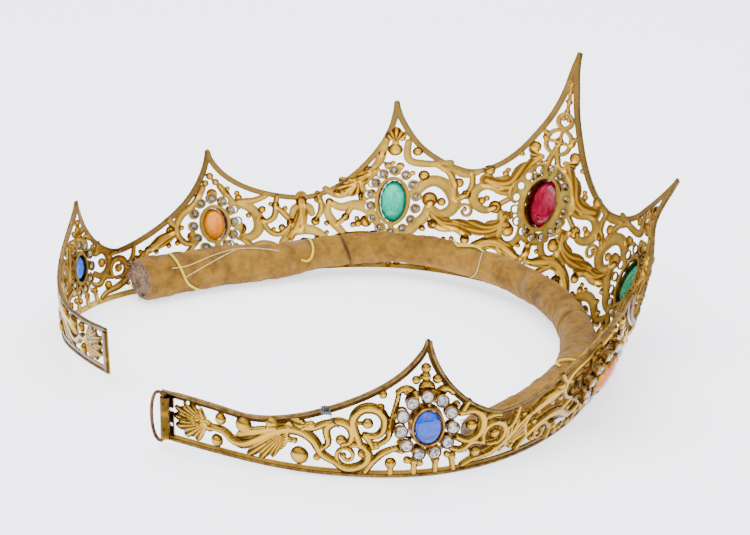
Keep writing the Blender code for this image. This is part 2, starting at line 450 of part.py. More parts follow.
def drawing():
    """All shapes of the sheet: solid pieces, stone openings and relief ridges."""
    solids, openings, ridges = [], [], []
    rail = top_edge()
    solids += strip(rail, RAIL_HALF_WIDTH)
    ridges.append((rail, RAIL_HALF_WIDTH, 0.5, False))
    base = np.column_stack([np.arange(-HALF_LENGTH, HALF_LENGTH + 0.1, HALF_LENGTH / 38),
                            np.full(77, BOTTOM_RAIL_WIDTH / 2)])
    solids += strip(base, BOTTOM_RAIL_WIDTH / 2)
    ridges.append((base, BOTTOM_RAIL_WIDTH / 2, 0.5, False))
    for side in (-1, 1):
        end_at = side * HALF_LENGTH
        solids.append(np.array([(end_at, 0), (end_at - side * FOLD_LENGTH, 0),
                                (end_at - side * FOLD_LENGTH, END_HEIGHT - 0.6),
                                (end_at, END_HEIGHT - 0.6)]))
    for _, at, tall, _, _, _, _, _, _, _ in PANELS:
        for side in (-1, 1):
            solids.append(disc(side * at, tall - RAIL_HALF_WIDTH, RAIL_HALF_WIDTH, 8))
    for side, at, (_, x, y, radius) in both_halves(BOSSES):
        if radius > SMALLEST_BOSS:
            solids.append(disc(side * (at - x), y, 1.06 * radius, 8 if radius > 2.1 else 6))
        ridges.append((np.array([(side * (at - x), y)]), radius, 0.75 * radius, True))
    for side, at, (number, widths, points) in both_halves(SCROLLS):
        line = through(points, STATIONS_PER_POINT * (len(points) - 1) + 1)
        line[:, 0] = side * (at - line[:, 0])
        width = np.interp(np.linspace(0, 1, len(line)), (0, 0.5, 1), widths) * BROADER[number]
        solids += strip(line, width)
        ridges.append((line, width, 0.6, False))
    for side, at, (_, half_width, lobes, points) in both_halves(LEAVES):
        line, pieces = leaf_outline(points, half_width, lobes)
        for piece in pieces:
            piece[:, 0] = side * (at - piece[:, 0])
            solids.append(piece)
        line[:, 0] = side * (at - line[:, 0])
        ridges.append((line, half_width * 0.75, 0.9, False))
    for _, at, _, _, _, x, y, half_wide, half_tall, _ in PANELS:
        for side in ((-1, 1) if at else (1,)):
            spot = side * (at - x)
            solids.append(oval(spot, y, half_wide + PLATE_REACH, half_tall + PLATE_REACH, 18))
            openings.append(oval(spot, y, half_wide - 0.2, half_tall - 0.2, 16))
    return solids, openings, ridges


def relief(spots, ridges):
    """Height of the sheet's outer face: the highest of its domes and rounded ridges."""
    height = np.zeros(len(spots))
    for line, width, tall, is_boss in ridges:
        width = np.broadcast_to(width, len(line))
        near = np.full(len(spots), np.inf)
        if is_boss:
            near = np.linalg.norm(spots - line[0], axis=1) / width[0]
        else:
            for k in range(len(line) - 1):
                run = line[k + 1] - line[k]
                t = np.clip(((spots - line[k]) @ run) / (run @ run), 0, 1)
                off = np.linalg.norm(spots - line[k] - t[:, None] * run, axis=1)
                near = np.minimum(near, off / (width[k] * (1 - t) + width[k + 1] * t))
        height = np.maximum(height, tall * np.sqrt(np.clip(1 - near ** 2, 0, None)))
    return height * settle_under_settings(spots)


def settle_under_settings(spots):
    """Zero where a setting lies on the sheet, one clear of it."""
    keep = np.ones(len(spots))
    for _, at, _, _, _, x, y, half_wide, half_tall, _ in PANELS:
        for side in (-1, 1):
            reach = SMALL_RING_OFFSET + SMALL_CUP_INSET + SMALL_CUP_RADIUS + 1.6
            away = np.hypot((spots[:, 0] - side * (at - x)) / (half_wide + reach),
                            (spots[:, 1] - y) / (half_tall + reach))
            keep = np.minimum(keep, np.clip((away - 1) / 0.2, 0, 1))
    return keep


def triangulated(points, edges, faces):
    result = delaunay_2d_cdt([tuple(p) for p in points], edges, faces, 0, 1e-4)
    return np.array([tuple(p) for p in result[0]]), result[2], result[5]


def outline_loops(triangles):
    """Closed loops of the edges that only one triangle has, in their directions."""
    count = {}
    for tri in triangles:
        for a, b in zip(tri, (*tri[1:], tri[0])):
            count[(a, b)] = count.get((a, b), 0) + 1
    follow = {}
    for a, b in count:
        if (b, a) not in count:
            follow.setdefault(a, []).append(b)
    loops = []
    while follow:
        start = next(iter(follow))
        loop, here = [], start
        while True:
            loop.append(here)
            ahead = follow[here].pop()
            if not follow[here]:
                del follow[here]
            here = ahead
            if here == start:
                break
        loops.append(loop)
    return loops


def straightened(loop, slack):
    """Drop the points of a closed loop that lie within slack of the line past them."""
    far = int(np.argmax(np.linalg.norm(loop - loop[0], axis=1)))

    def keep(first, last):
        run = loop[last % len(loop)] - loop[first]
        between = loop[first + 1:last]
        if len(between) == 0:
            return [first]
        length = max(np.linalg.norm(run), 1e-9)
        off = np.abs(run[0] * (between[:, 1] - loop[first][1]) - run[1] * (between[:, 0] - loop[first][0]))
        peak = int(np.argmax(off)) + first + 1
        if off.max() / length <= slack:
            return [first]
        return keep(first, peak) + keep(peak, last)

    chosen = keep(0, far) + keep(far, len(loop))
    return closer_points(loop[chosen], LONGEST_EDGE)


def loop_area(loop):
    ahead = np.roll(loop, -1, axis=0)
    return 0.5 * np.sum(loop[:, 0] * ahead[:, 1] - ahead[:, 0] * loop[:, 1])


def inside_loops(spots, loops):
    """True for spots with an odd number of loop crossings to their right."""
    inside = np.zeros(len(spots), bool)
    for loop in loops:
        for start, end in zip(loop, np.roll(loop, -1, axis=0)):
            if start[1] == end[1]:
                continue
            cross = (spots[:, 1] > min(start[1], end[1])) & (spots[:, 1] <= max(start[1], end[1]))
            where = start[0] + (spots[:, 1] - start[1]) * (end[0] - start[0]) / (end[1] - start[1])
            inside ^= cross & (where > spots[:, 0])
    return inside


def clear_of_loops(spots, loops, room):
    """True for spots that are at least room from every outline."""
    clear = np.ones(len(spots), bool)
    for loop in loops:
        for start, end in zip(loop, np.roll(loop, -1, axis=0)):
            run = end - start
            t = np.clip(((spots - start) @ run) / max(run @ run, 1e-9), 0, 1)
            clear &= np.linalg.norm(spots - start - t[:, None] * run, axis=1) > room
    return clear


def sheet_loops(solids, openings):
    """Union of the solids less the openings, as outline loops without the smallest gaps."""
    points, faces = [], []
    for shape in solids + openings:
        if loop_area(shape) < 0:
            shape = shape[::-1]
        faces.append(list(range(len(points), len(points) + len(shape))))
        points += [tuple(p) for p in shape]
    spots, triangles, origins = triangulated(points, [], faces)
    first_opening = len(solids)
    kept = [tri for tri, origin in zip(triangles, origins)
            if origin and max(origin) < first_opening]
    loops = [straightened(spots[loop], SIMPLIFY) for loop in outline_loops(kept)]
    return [loop for loop in loops if len(loop) > 2 and abs(loop_area(loop)) > SMALLEST_GAP]


def nearest_pair(spots, others):
    """The two closest points of two sets."""
    apart = np.linalg.norm(spots[:, None] - others[None], axis=2)
    k, j = np.unravel_index(np.argmin(apart), apart.shape)
    return spots[k], others[j]


def closer_points(loop, step=0.5):
    """The outline's points with more put between them."""
    points = []
    for start, end in zip(loop, np.roll(loop, -1, axis=0)):
        count = max(1, math.ceil(np.hypot(*(end - start)) / step))
        points += [start + (end - start) * k / count for k in range(count)]
    return np.array(points)


def tied_loops(solids, openings):
    """Outlines of the sheet, with a short tie added from each loose part to its neighbour."""
    for _ in range(8):
        loops = sheet_loops(solids, openings)
        loose = [loop for loop in loops if loop_area(loop) > 0]
        loose.sort(key=loop_area)
        if len(loose) == 1:
            break
        dense = [closer_points(loop) for loop in loops]
        for part in loose[:-1]:
            others = [points for points, loop in zip(dense, loops)
                      if loop is not part and not inside_loops(points[:1], [part])[0]]
            here, there = nearest_pair(closer_points(part), np.vstack(others))
            run = (there - here) / max(np.hypot(*(there - here)), 1e-6)
            line = np.array([here - run * 0.8, there + run * 0.6])
            solids += strip(line, TIE_HALF_WIDTH)
    return loops


def flat_band():
    """The pierced sheet with its relief, flat and closed, in millimetres."""
    solids, openings, ridges = drawing()
    loops = tied_loops(solids, openings)
    extra = []
    for line, width, _, is_boss in ridges:
        if is_boss:
            radius = float(np.broadcast_to(width, 1)[0])
            extra += [line[0]]
            if radius > 1.4:
                extra += list(disc(*line[0], 0.72 * radius, 5))
        else:
            extra += list(line[1:-1])
    extra = np.array(extra)
    extra = extra[inside_loops(extra, loops) & clear_of_loops(extra, loops, 0.32)]
    extra = thinned(extra, POINT_SPACING)
    front_spots, front = filled(loops, extra)
    rim = rim_edges(front)
    used = sorted({k for edge in rim for k in edge})
    place = {k: n for n, k in enumerate(used)}
    back_spots = front_spots[used]
    back_edges = [(place[a], place[b]) for a, b in rim]
    _, back = filled_edges(back_spots, back_edges, loops)
    height = relief(front_spots, ridges)

    sheet = bmesh.new()
    tops = [sheet.verts.new((x, y, z)) for (x, y), z in zip(front_spots, height)]
    lows = [sheet.verts.new((x, y, -SHEET_THICKNESS)) for x, y in back_spots]
    for tri in front:
        sheet.faces.new([tops[k] for k in tri])
    for tri in back:
        sheet.faces.new([lows[k] for k in reversed(tri)])
    for a, b in rim:
        sheet.faces.new((tops[b], tops[a], lows[place[a]], lows[place[b]]))
    bmesh.ops.delete(sheet, geom=[v for v in sheet.verts if not v.link_faces], context='VERTS')
    bmesh.ops.recalc_face_normals(sheet, faces=sheet.faces)
    mesh = bpy.data.meshes.new("band")
    sheet.to_mesh(mesh)
    sheet.free()
    return mesh


def filled(loops, extra):
    """Triangles that fill the outlines, with extra points inside."""
    points = [tuple(p) for loop in loops for p in loop] + [tuple(p) for p in extra]
    edges, start = [], 0
    for loop in loops:
        edges += [(start + k, start + (k + 1) % len(loop)) for k in range(len(loop))]
        start += len(loop)
    return filled_edges(points, edges, loops)


def filled_edges(points, edges, loops):
    spots, triangles, _ = triangulated(points, edges, [])
    middle = np.array([spots[list(tri)].mean(axis=0) for tri in triangles])
    return spots, [tri for tri, inside in zip(triangles, inside_loops(middle, loops)) if inside]


def rim_edges(triangles):
    """Directed edges that only one triangle has."""
    edges = {pair for tri in triangles for pair in zip(tri, (*tri[1:], tri[0]))}
    return [(a, b) for a, b in edges if (b, a) not in edges]


def thinned(spots, room):
    """Spots in their order, without those closer than room to an earlier one."""
    kept = []
    for spot in spots:
        if all(abs(spot[0] - other[0]) > room or np.hypot(*(spot - other)) > room
               for other in kept[-400:]):
            kept.append(spot)
    return np.array(kept)


# Solids made of rings

def lofted(rings, closed_ends=True):
    """Closed solid through rings of equal counts, with flat ends or joined end to end."""
    body = bmesh.new()
    rows = [[body.verts.new(tuple(p)) for p in ring] for ring in rings]
    pairs = list(zip(rows, rows[1:]))
    if not closed_ends:
        pairs.append((rows[-1], rows[0]))
    count = len(rows[0])
    for low, high in pairs:
        for k in range(count):
            body.faces.new((low[k], low[(k + 1) % count], high[(k + 1) % count], high[k]))
    if closed_ends:
        body.faces.new(rows[0][::-1])
        body.faces.new(rows[-1])
    bmesh.ops.recalc_face_normals(body, faces=body.faces)
    mesh = bpy.data.meshes.new("solid")
    body.to_mesh(mesh)
    body.free()
    return mesh


def ring_at(outline, height):
    return np.column_stack([outline, np.full(len(outline), height)])


def joined(base, others, place, cutters):
    """Exact union of a base mesh with other meshes; the cutters stay as guides."""
    item = bpy.data.objects.new("join", base)
    place.objects.link(item)
    for number, other in enumerate(others):
        guide = bpy.data.objects.new(f"join_guide_{number}", other)
        guide.hide_render = True
        guide.display_type = 'WIRE'
        cutters.objects.link(guide)
        union = item.modifiers.new("union", 'BOOLEAN')
        union.operation = 'UNION'
        union.solver = 'EXACT'
        union.object = guide
    bpy.context.view_layer.update()
    seen = item.evaluated_get(bpy.context.evaluated_depsgraph_get())
    result = bpy.data.meshes.new_from_object(seen)
    bpy.data.objects.remove(item)
    for guide in list(cutters.objects):
        bpy.data.objects.remove(guide)
    return result


# Folded ends of the band

def fold_solid(side, with_bore):
    """The sheet's end folded back on the outer face, along the height of the end.

    Its section lies in the plane of length and outward reach; the near end keeps a bore
    for the loop's leg, the far end is pressed nearly flat.
    """
    sides = 16
    turn = np.arange(sides) * 2 * math.pi / sides
    reach = HINGE_OUT if with_bore else 0.75
    radius = FOLD_RADIUS if with_bore else 1.35
    bore = FOLD_BORE if with_bore else 0.4
    length = FOLD_LENGTH
    across = np.where(np.cos(turn) > 0, length - HINGE_INSET, radius) * np.cos(turn)
    over = radius * np.sign(np.sin(turn)) * np.abs(np.sin(turn)) ** np.where(np.cos(turn) > 0, 0.6, 1.0)
    outer = np.column_stack([HINGE_INSET + across, reach + over])
    inner = np.column_stack([HINGE_INSET + bore * np.cos(turn) * (1 if with_bore else 2.4),
                             reach + bore * np.sin(turn)])
    rings = []
    for outline, high in ((outer, FOLD_LOW), (outer, FOLD_HIGH), (inner, FOLD_HIGH), (inner, FOLD_LOW)):
        along = side * (HALF_LENGTH - outline[:, 0])
        rings.append(np.column_stack([along, np.full(sides, high), outline[:, 1]]))
    return lofted(rings, closed_ends=False)


# Stones and settings, built about their own middle with z outward

def small_stone_places(half_wide, half_tall, count):
    """Evenly spaced places on the oval that the small stones follow."""
    turn = np.linspace(0, 2 * math.pi, 721)
    line = np.column_stack([(half_wide + SMALL_RING_OFFSET + SMALL_CUP_INSET) * np.sin(turn),
                            (half_tall + SMALL_RING_OFFSET + SMALL_CUP_INSET) * np.cos(turn)])
    run = np.r_[0, np.cumsum(np.linalg.norm(np.diff(line, axis=0), axis=1))]
    at = np.arange(count) * run[-1] / count
    return np.column_stack([np.interp(at, run, line[:, 0]), np.interp(at, run, line[:, 1])])


def setting_mesh(half_wide, half_tall, count, place, cutters):
    """Collet wall with the ring of small stones in cups fused to it."""
    sides = 14
    inner = oval(0, 0, half_wide + GAP, half_tall + GAP, sides)
    outer = oval(0, 0, half_wide + GAP + COLLET_WALL, half_tall + GAP + COLLET_WALL, sides)
    top = COLLET_HEIGHT
    reach = SMALL_RING_OFFSET + 0.1
    flange = oval(0, 0, half_wide + reach, half_tall + reach, sides)
    low = SETTING_BASE
    collet = lofted([ring_at(flange, low), ring_at(flange, low + FLANGE_THICKNESS),
                     ring_at(outer, low + FLANGE_THICKNESS), ring_at(outer, top),
                     ring_at(inner, top), ring_at(inner, low)], closed_ends=False)
    cups = []
    for x, y in small_stone_places(half_wide, half_tall, count):
        cups.append(lofted([ring_at(disc(x, y, SMALL_CUP_RADIUS, 8), low),
                            ring_at(disc(x, y, SMALL_TABLE_RADIUS, 8), SMALL_STONE_HEIGHT)]))
    return joined(collet, cups, place, cutters)


def stone_mesh(half_wide, half_tall):
    """Oval cut stone: table, crown facets, girdle and pavilion facets."""
    sides = 12
    rows = ((0.45, -1.7), (0.8, -0.9), (1.0, -0.1), (1.0, 0.2), (0.82, 0.95), (0.58, 1.35))
    return lofted([ring_at(oval(0, 0, half_wide * share, half_tall * share, sides), STONE_LIFT + high)
                   for share, high in rows])


def seat(mesh, along, high):
    """Turn and move a mesh from its own frame to its place on the band."""
    spot, normal, up, tangent = frame_at(along, high)
    turned = Matrix((tangent[0], up[0], normal[0])).transposed().to_4x4()
    mesh.transform(Matrix.Translation(spot[0]) @ turned)


# Soft and wire pieces

def padding_roll():
    rows = np.array(ROLL)
    torn_end = ((rows[-2, 0] + rows[-1, 0]) / 2, rows[-1, 0])
    place = np.append(np.linspace(rows[0, 0], rows[-2, 0], 36), torn_end)
    radius = np.interp(place, rows[:, 0], rows[:, 1])
    high = np.interp(place, rows[:, 0], rows[:, 2])
    radius[[0, -1]] *= 0.86
    point, slope = along_spline(HEAD[:, 0], HEAD[:, 1:3], HEAD_BENDS, place)
    run = slope / np.linalg.norm(slope, axis=1)[:, None]
    inward = np.stack([-run[:, 1], run[:, 0]], axis=1)
    lean = np.radians(np.interp(place, HEAD[:, 0], HEAD[:, 4]))
    lift = np.interp(place, HEAD[:, 0], HEAD[:, 3])
    room = SHEET_THICKNESS + (radius + GAP + 0.2 - (high - lift) * np.sin(lean)) / np.cos(lean)
    rings = []
    sides = 12
    for k in range(len(place)):
        turn = (np.arange(sides) + 0.5) * 2 * math.pi / sides
        across = room[k] + radius[k] * np.cos(turn)
        ring = np.column_stack([point[k] + inward[k] * across[:, None],
                                high[k] + radius[k] * np.sin(turn)])
        rings.append(ring - np.array(ORIGIN_SHIFT))
    return lofted(rings)


def wire_mesh(points, radius, closed, place):
    """Round wire: a curve with a bevel, made a mesh with its caps welded."""
    line = bpy.data.curves.new("wire", 'CURVE')
    line.dimensions = '3D'
    line.bevel_depth = radius
    line.bevel_resolution = 1
    line.use_fill_caps = True
    spline = line.splines.new('POLY')
    spline.points.add(len(points) - 1)
    for target, point in zip(spline.points, points):
        target.co = (*point, 1.0)
    spline.use_cyclic_u = closed
    item = bpy.data.objects.new("wire", line)
    place.objects.link(item)
    bpy.context.view_layer.update()
    seen = item.evaluated_get(bpy.context.evaluated_depsgraph_get())
    mesh = bpy.data.meshes.new_from_object(seen)
    bpy.data.objects.remove(item)
    welded = bmesh.new()
    welded.from_mesh(mesh)
    bmesh.ops.remove_doubles(welded, verts=welded.verts, dist=0.001)
    bmesh.ops.recalc_face_normals(welded, faces=welded.faces)
    welded.to_mesh(mesh)
    welded.free()
    return mesh


def loop_points():
    """Middle line of the wire loop: a straight leg and a bow, x away from the band's end."""
    middle = (LOOP_BOTTOM + LOOP_TOP) / 2
    half = (LOOP_TOP - LOOP_BOTTOM) / 2
    leg = [(0.0, y) for y in np.linspace(LOOP_TOP - 1.0, LOOP_BOTTOM + 1.0, 3)]
    turn = np.linspace(-math.pi / 2, math.pi / 2, 11)
    bow = [(0.9 + (LOOP_REACH - 0.9) * math.cos(t) ** 0.75, middle + half * math.sin(t)) for t in turn]
    return leg + bow


def clasp_loop(place):
    """The loop in its place, and the foot of its leg, which lies on the hinge line."""
    along = -(HALF_LENGTH - HINGE_INSET)
    mesh = wire_mesh([(-x, y, 0.0) for x, y in loop_points()], LOOP_WIRE, True, place)
    spot, normal, up, tangent = frame_at(along, 0.0)
    turned = Matrix((tangent[0], up[0], normal[0])).transposed().to_4x4()
    foot = spot[0] + normal[0] * HINGE_OUT
    mesh.transform(Matrix.Translation(foot) @ turned)
    return mesh, foot


def rail_wrap(place):
    """A few turns of thin wire about the top rail, with a short tail hanging down."""
    edge = top_edge()
    high = float(np.interp(WRAP_PLACE, edge[:60, 0], edge[:60, 1]))
    turns = np.linspace(0, WRAP_TURNS * 2 * math.pi, round(WRAP_TURNS * 8))
    reach_up = RAIL_HALF_WIDTH + WRAP_WIRE + WRAP_ROOM
    along = WRAP_PLACE + (turns / (2 * math.pi) - WRAP_TURNS / 2) * (2 * WRAP_WIRE + 0.12)
    height = high + reach_up * np.cos(turns)
    out = -0.25 + (reach_up - 0.1) * np.sin(turns)
    return wire_mesh(on_band(along, height, out), WRAP_WIRE, False, place)


def build():
    clear_scene()
    tiara = collection("tiara")
    cutters = collection("tiara_guides")
    band = joined(flat_band(), [fold_solid(-1, True), fold_solid(1, False)], tiara, cutters)
    bend(band)
    finished("band", band, "gilt_brass", tiara)
    for number, at, _, _, _, x, y, half_wide, half_tall, count in PANELS:
        for side in ((-1, 1) if at else (-1,)):
            place = number if side < 0 else 8 - number
            along = side * (at - x)
            setting = setting_mesh(half_wide, half_tall, count, tiara, cutters)
            seat(setting, along, y)
            finished(f"setting_{place}", setting, "setting_brass", tiara)
            stone = stone_mesh(half_wide, half_tall)
            seat(stone, along, y)
            finished(f"stone_{place}", stone, STONE_COLOURS[number], tiara)
    loop, foot = clasp_loop(tiara)
    finished("clasp_loop", loop, "copper_wire", tiara, pivot=foot, smooth=True)
    finished("rail_wire_wrap", rail_wrap(tiara), "steel_wire", tiara, smooth=True)
    finished("padding_roll", padding_roll(), "chamois", tiara, smooth=True)


build()
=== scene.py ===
import json
import math

import bpy
import numpy as np
from mathutils import Matrix, Vector
from mathutils.geometry import delaunay_2d_cdt


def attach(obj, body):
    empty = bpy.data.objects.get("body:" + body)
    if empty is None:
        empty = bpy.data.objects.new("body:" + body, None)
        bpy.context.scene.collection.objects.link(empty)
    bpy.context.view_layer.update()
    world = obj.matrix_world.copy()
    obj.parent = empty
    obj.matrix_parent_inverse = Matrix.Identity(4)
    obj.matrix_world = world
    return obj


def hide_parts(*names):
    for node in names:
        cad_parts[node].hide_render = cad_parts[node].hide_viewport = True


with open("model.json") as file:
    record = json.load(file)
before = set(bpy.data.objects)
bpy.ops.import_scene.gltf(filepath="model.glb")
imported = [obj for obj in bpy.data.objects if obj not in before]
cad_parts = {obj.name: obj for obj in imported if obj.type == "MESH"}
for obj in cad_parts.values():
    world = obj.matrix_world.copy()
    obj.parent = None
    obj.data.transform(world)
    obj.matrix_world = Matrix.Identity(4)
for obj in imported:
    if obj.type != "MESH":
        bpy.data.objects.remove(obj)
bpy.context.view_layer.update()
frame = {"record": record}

MM = 0.001
GRID = 0.3                 # spacing of the stamped sheet's grid, in millimetres
FILL_FROM = -207.0         # small curls fill gaps from here to the front
WALL = 0.5                 # thickness of the stamped sheet
HALF_LENGTH = 247.0        # of the flat sheet, from the front to an end
RAIL_HALF_WIDTH = 0.95     # of the strip along the top edge
TOP_BAR, BOTTOM_BAR = 0.56, 0.5    # radius of the round bars on the edges
BOTTOM_RAIL_WIDTH = 1.9
END_HEIGHT = 14.8
END_STRIP = (1.7, 7.3, 7.0)    # plain strip at each end: half width, middle height, half height
PLATE_REACH = 3.3          # of the ring under a setting, past its stone
HALO_REACH = 3.45          # from a stone's edge to the middle of its small stones
ORIGIN_SHIFT = (-2.97, 1.70, 0.0)    # from the head line's origin to the object's
METAL = -0.1               # a coarse grid's place with less than this is sure to be metal
GAPS_FILLED, SMALLEST_GAP, CURL_GAP = 190, 1.3, 2.3    # at most this many; radius for a bead, for a curl
CURL_SEED, WOOL_SEED = 11, 5

# The line that the bottom edge follows on the surface, seen from above.
# columns: distance along from the front, x, y, height of the edge, lean outward in degrees
HEAD_LINE = (
    (-247.0, -21.6, 97.1, 2.4, -0.5),
    (-203.0, -61.0, 78.1, 0.4, -0.5),
    (-170.9, -82.8, 54.8, 0.0, -0.5),
    (-114.0, -84.2, 0.0, 0.0, 22.7),
    (-52.2, -48.2, -51.0, 0.0, 24.6),
    (0.0, 1.2, -67.2, 2.0, 19.8),
    (52.2, 49.6, -52.2, 1.2, 17.8),
    (114.0, 80.4, 0.0, 0.0, 19.9),
    (170.9, 84.8, 55.2, 0.0, 1.5),
    (200.4, 64.4, 76.0, 2.4, 1.5),
    (247.0, 19.2, 88.1, 6.3, 1.5),
)

# Panels of one half, outermost first.
# columns: number, distance from the front, tip height, curve exponent, outward bulge,
#          stone x, stone y, stone half width, stone half height, small stones round it
PANELS = (
    (1, 170.9, 39.6, 0.68, 0.0, -0.4, 15.4, 3.75, 4.8, 11),
    (2, 114.0, 47.6, 0.63, 0.8, 0.0, 20.0, 4.3, 5.9, 12),
    (3, 52.2, 61.6, 0.60, 1.5, 0.0, 24.0, 4.9, 7.8, 14),
    (4, 0.0, 86.6, 0.61, 2.8, 0.0, 31.2, 6.2, 8.8, 16),
)
VALLEYS = ((27.6, 38.2), (83.0, 26.8), (150.6, 17.1), (221.0, 14.0))

# Raised domes and discs.  columns: panel, x toward the front, y, radius
BOSSES = (
    (1, -57.4, 10.6, 1.7), (1, -58.6, 4.0, 1.8), (1, -50.3, 10.6, 2.4), (1, -41.8, 12.9, 2.0),
    (1, -34.2, 4.9, 2.5), (1, -61.0, 7.4, 1.5), (1, -23.0, 10.4, 1.5), (1, -17.2, 7.0, 1.5),
    (1, -16.0, 15.6, 1.5), (1, -12.7, 20.2, 1.2), (1, -13.8, 9.3, 1.2), (1, -9.9, 4.2, 1.6),
    (1, -6.8, 7.9, 1.1), (1, -3.5, 4.6, 1.3), (1, 2.6, 4.6, 1.3), (1, 7.4, 5.0, 1.3),
    (1, -0.2, 25.4, 2.4), (1, -3.2, 27.9, 1.2), (1, -0.5, 31.2, 1.4), (1, 2.6, 28.0, 1.3),
    (1, -0.5, 28.8, 1.4), (1, -5.4, 24.8, 1.3), (1, 4.2, 24.6, 1.3), (1, 12.5, 13.8, 1.7),
    (1, 8.1, 20.4, 1.1), (1, 19.8, 10.2, 1.5), (1, 14.4, 5.4, 1.6),
    (2, 0.0, 37.4, 1.3), (2, -1.8, 35.0, 1.2), (2, 1.8, 35.0, 1.2), (2, 0.0, 30.9, 1.9),
    (2, -5.0, 30.4, 1.2), (2, 5.0, 30.4, 1.2), (2, 8.5, 17.2, 2.2), (2, 16.6, 19.3, 1.2),
    (2, 21.6, 24.0, 1.4), (2, 30.6, 24.4, 1.9), (2, 26.5, 17.1, 1.6), (2, 35.1, 17.1, 1.6),
    (2, 36.2, 25.0, 1.3), (2, 30.6, 9.4, 2.2), (2, -15.9, 19.6, 1.7), (2, -24.6, 14.2, 1.4),
    (2, -8.6, 16.6, 1.8), (2, -14.0, 6.0, 1.8), (2, 14.0, 6.0, 1.8), (2, 0.0, 6.6, 1.5),
    (3, 0.0, 49.7, 1.3), (3, -1.9, 47.3, 1.2), (3, 1.9, 47.3, 1.2), (3, 0.0, 42.9, 2.3),
    (3, -1.9, 36.9, 1.4), (3, 1.9, 36.9, 1.4), (3, 9.8, 34.0, 1.9), (3, 7.0, 42.6, 1.6),
    (3, 12.6, 25.6, 2.7), (3, 16.8, 25.2, 1.5), (3, 14.6, 16.8, 1.8), (3, 21.8, 32.8, 1.7),
    (3, 25.0, 29.0, 1.7), (3, -4.1, 41.3, 1.2), (3, -8.2, 35.0, 1.7), (3, -10.6, 31.6, 2.1),
    (3, -13.6, 30.8, 1.5), (3, -18.9, 27.0, 1.3), (3, -9.8, 25.6, 2.0), (3, -8.9, 16.6, 2.2),
    (3, -16.1, 18.2, 1.5), (3, -21.6, 24.0, 1.3), (3, -16.0, 6.4, 1.8), (3, 15.0, 6.4, 1.8),
    (3, 0.0, 7.6, 1.5),
    (4, 0.0, 64.4, 1.0), (4, 0.0, 68.0, 1.1), (4, 0.0, 71.6, 0.9), (4, 0.0, 74.6, 1.0),
    (4, 0.0, 53.4, 1.6), (4, -4.9, 54.2, 1.2), (4, -7.6, 50.0, 2.0),
    (4, -1.8, 45.6, 1.2), (4, -5.0, 44.6, 1.2), (4, -21.0, 38.8, 1.9), (4, -7.8, 33.2, 1.8),
    (4, -9.8, 19.3, 2.4), (4, -16.4, 26.3, 2.3), (4, -10.4, 24.4, 1.4), (4, 0.0, 17.2, 1.5),
    (4, 0.0, 13.6, 1.6), (4, -16.9, 8.6, 2.4), (4, -24.8, 13.0, 1.8), (4, -4.6, 6.6, 1.5),
)

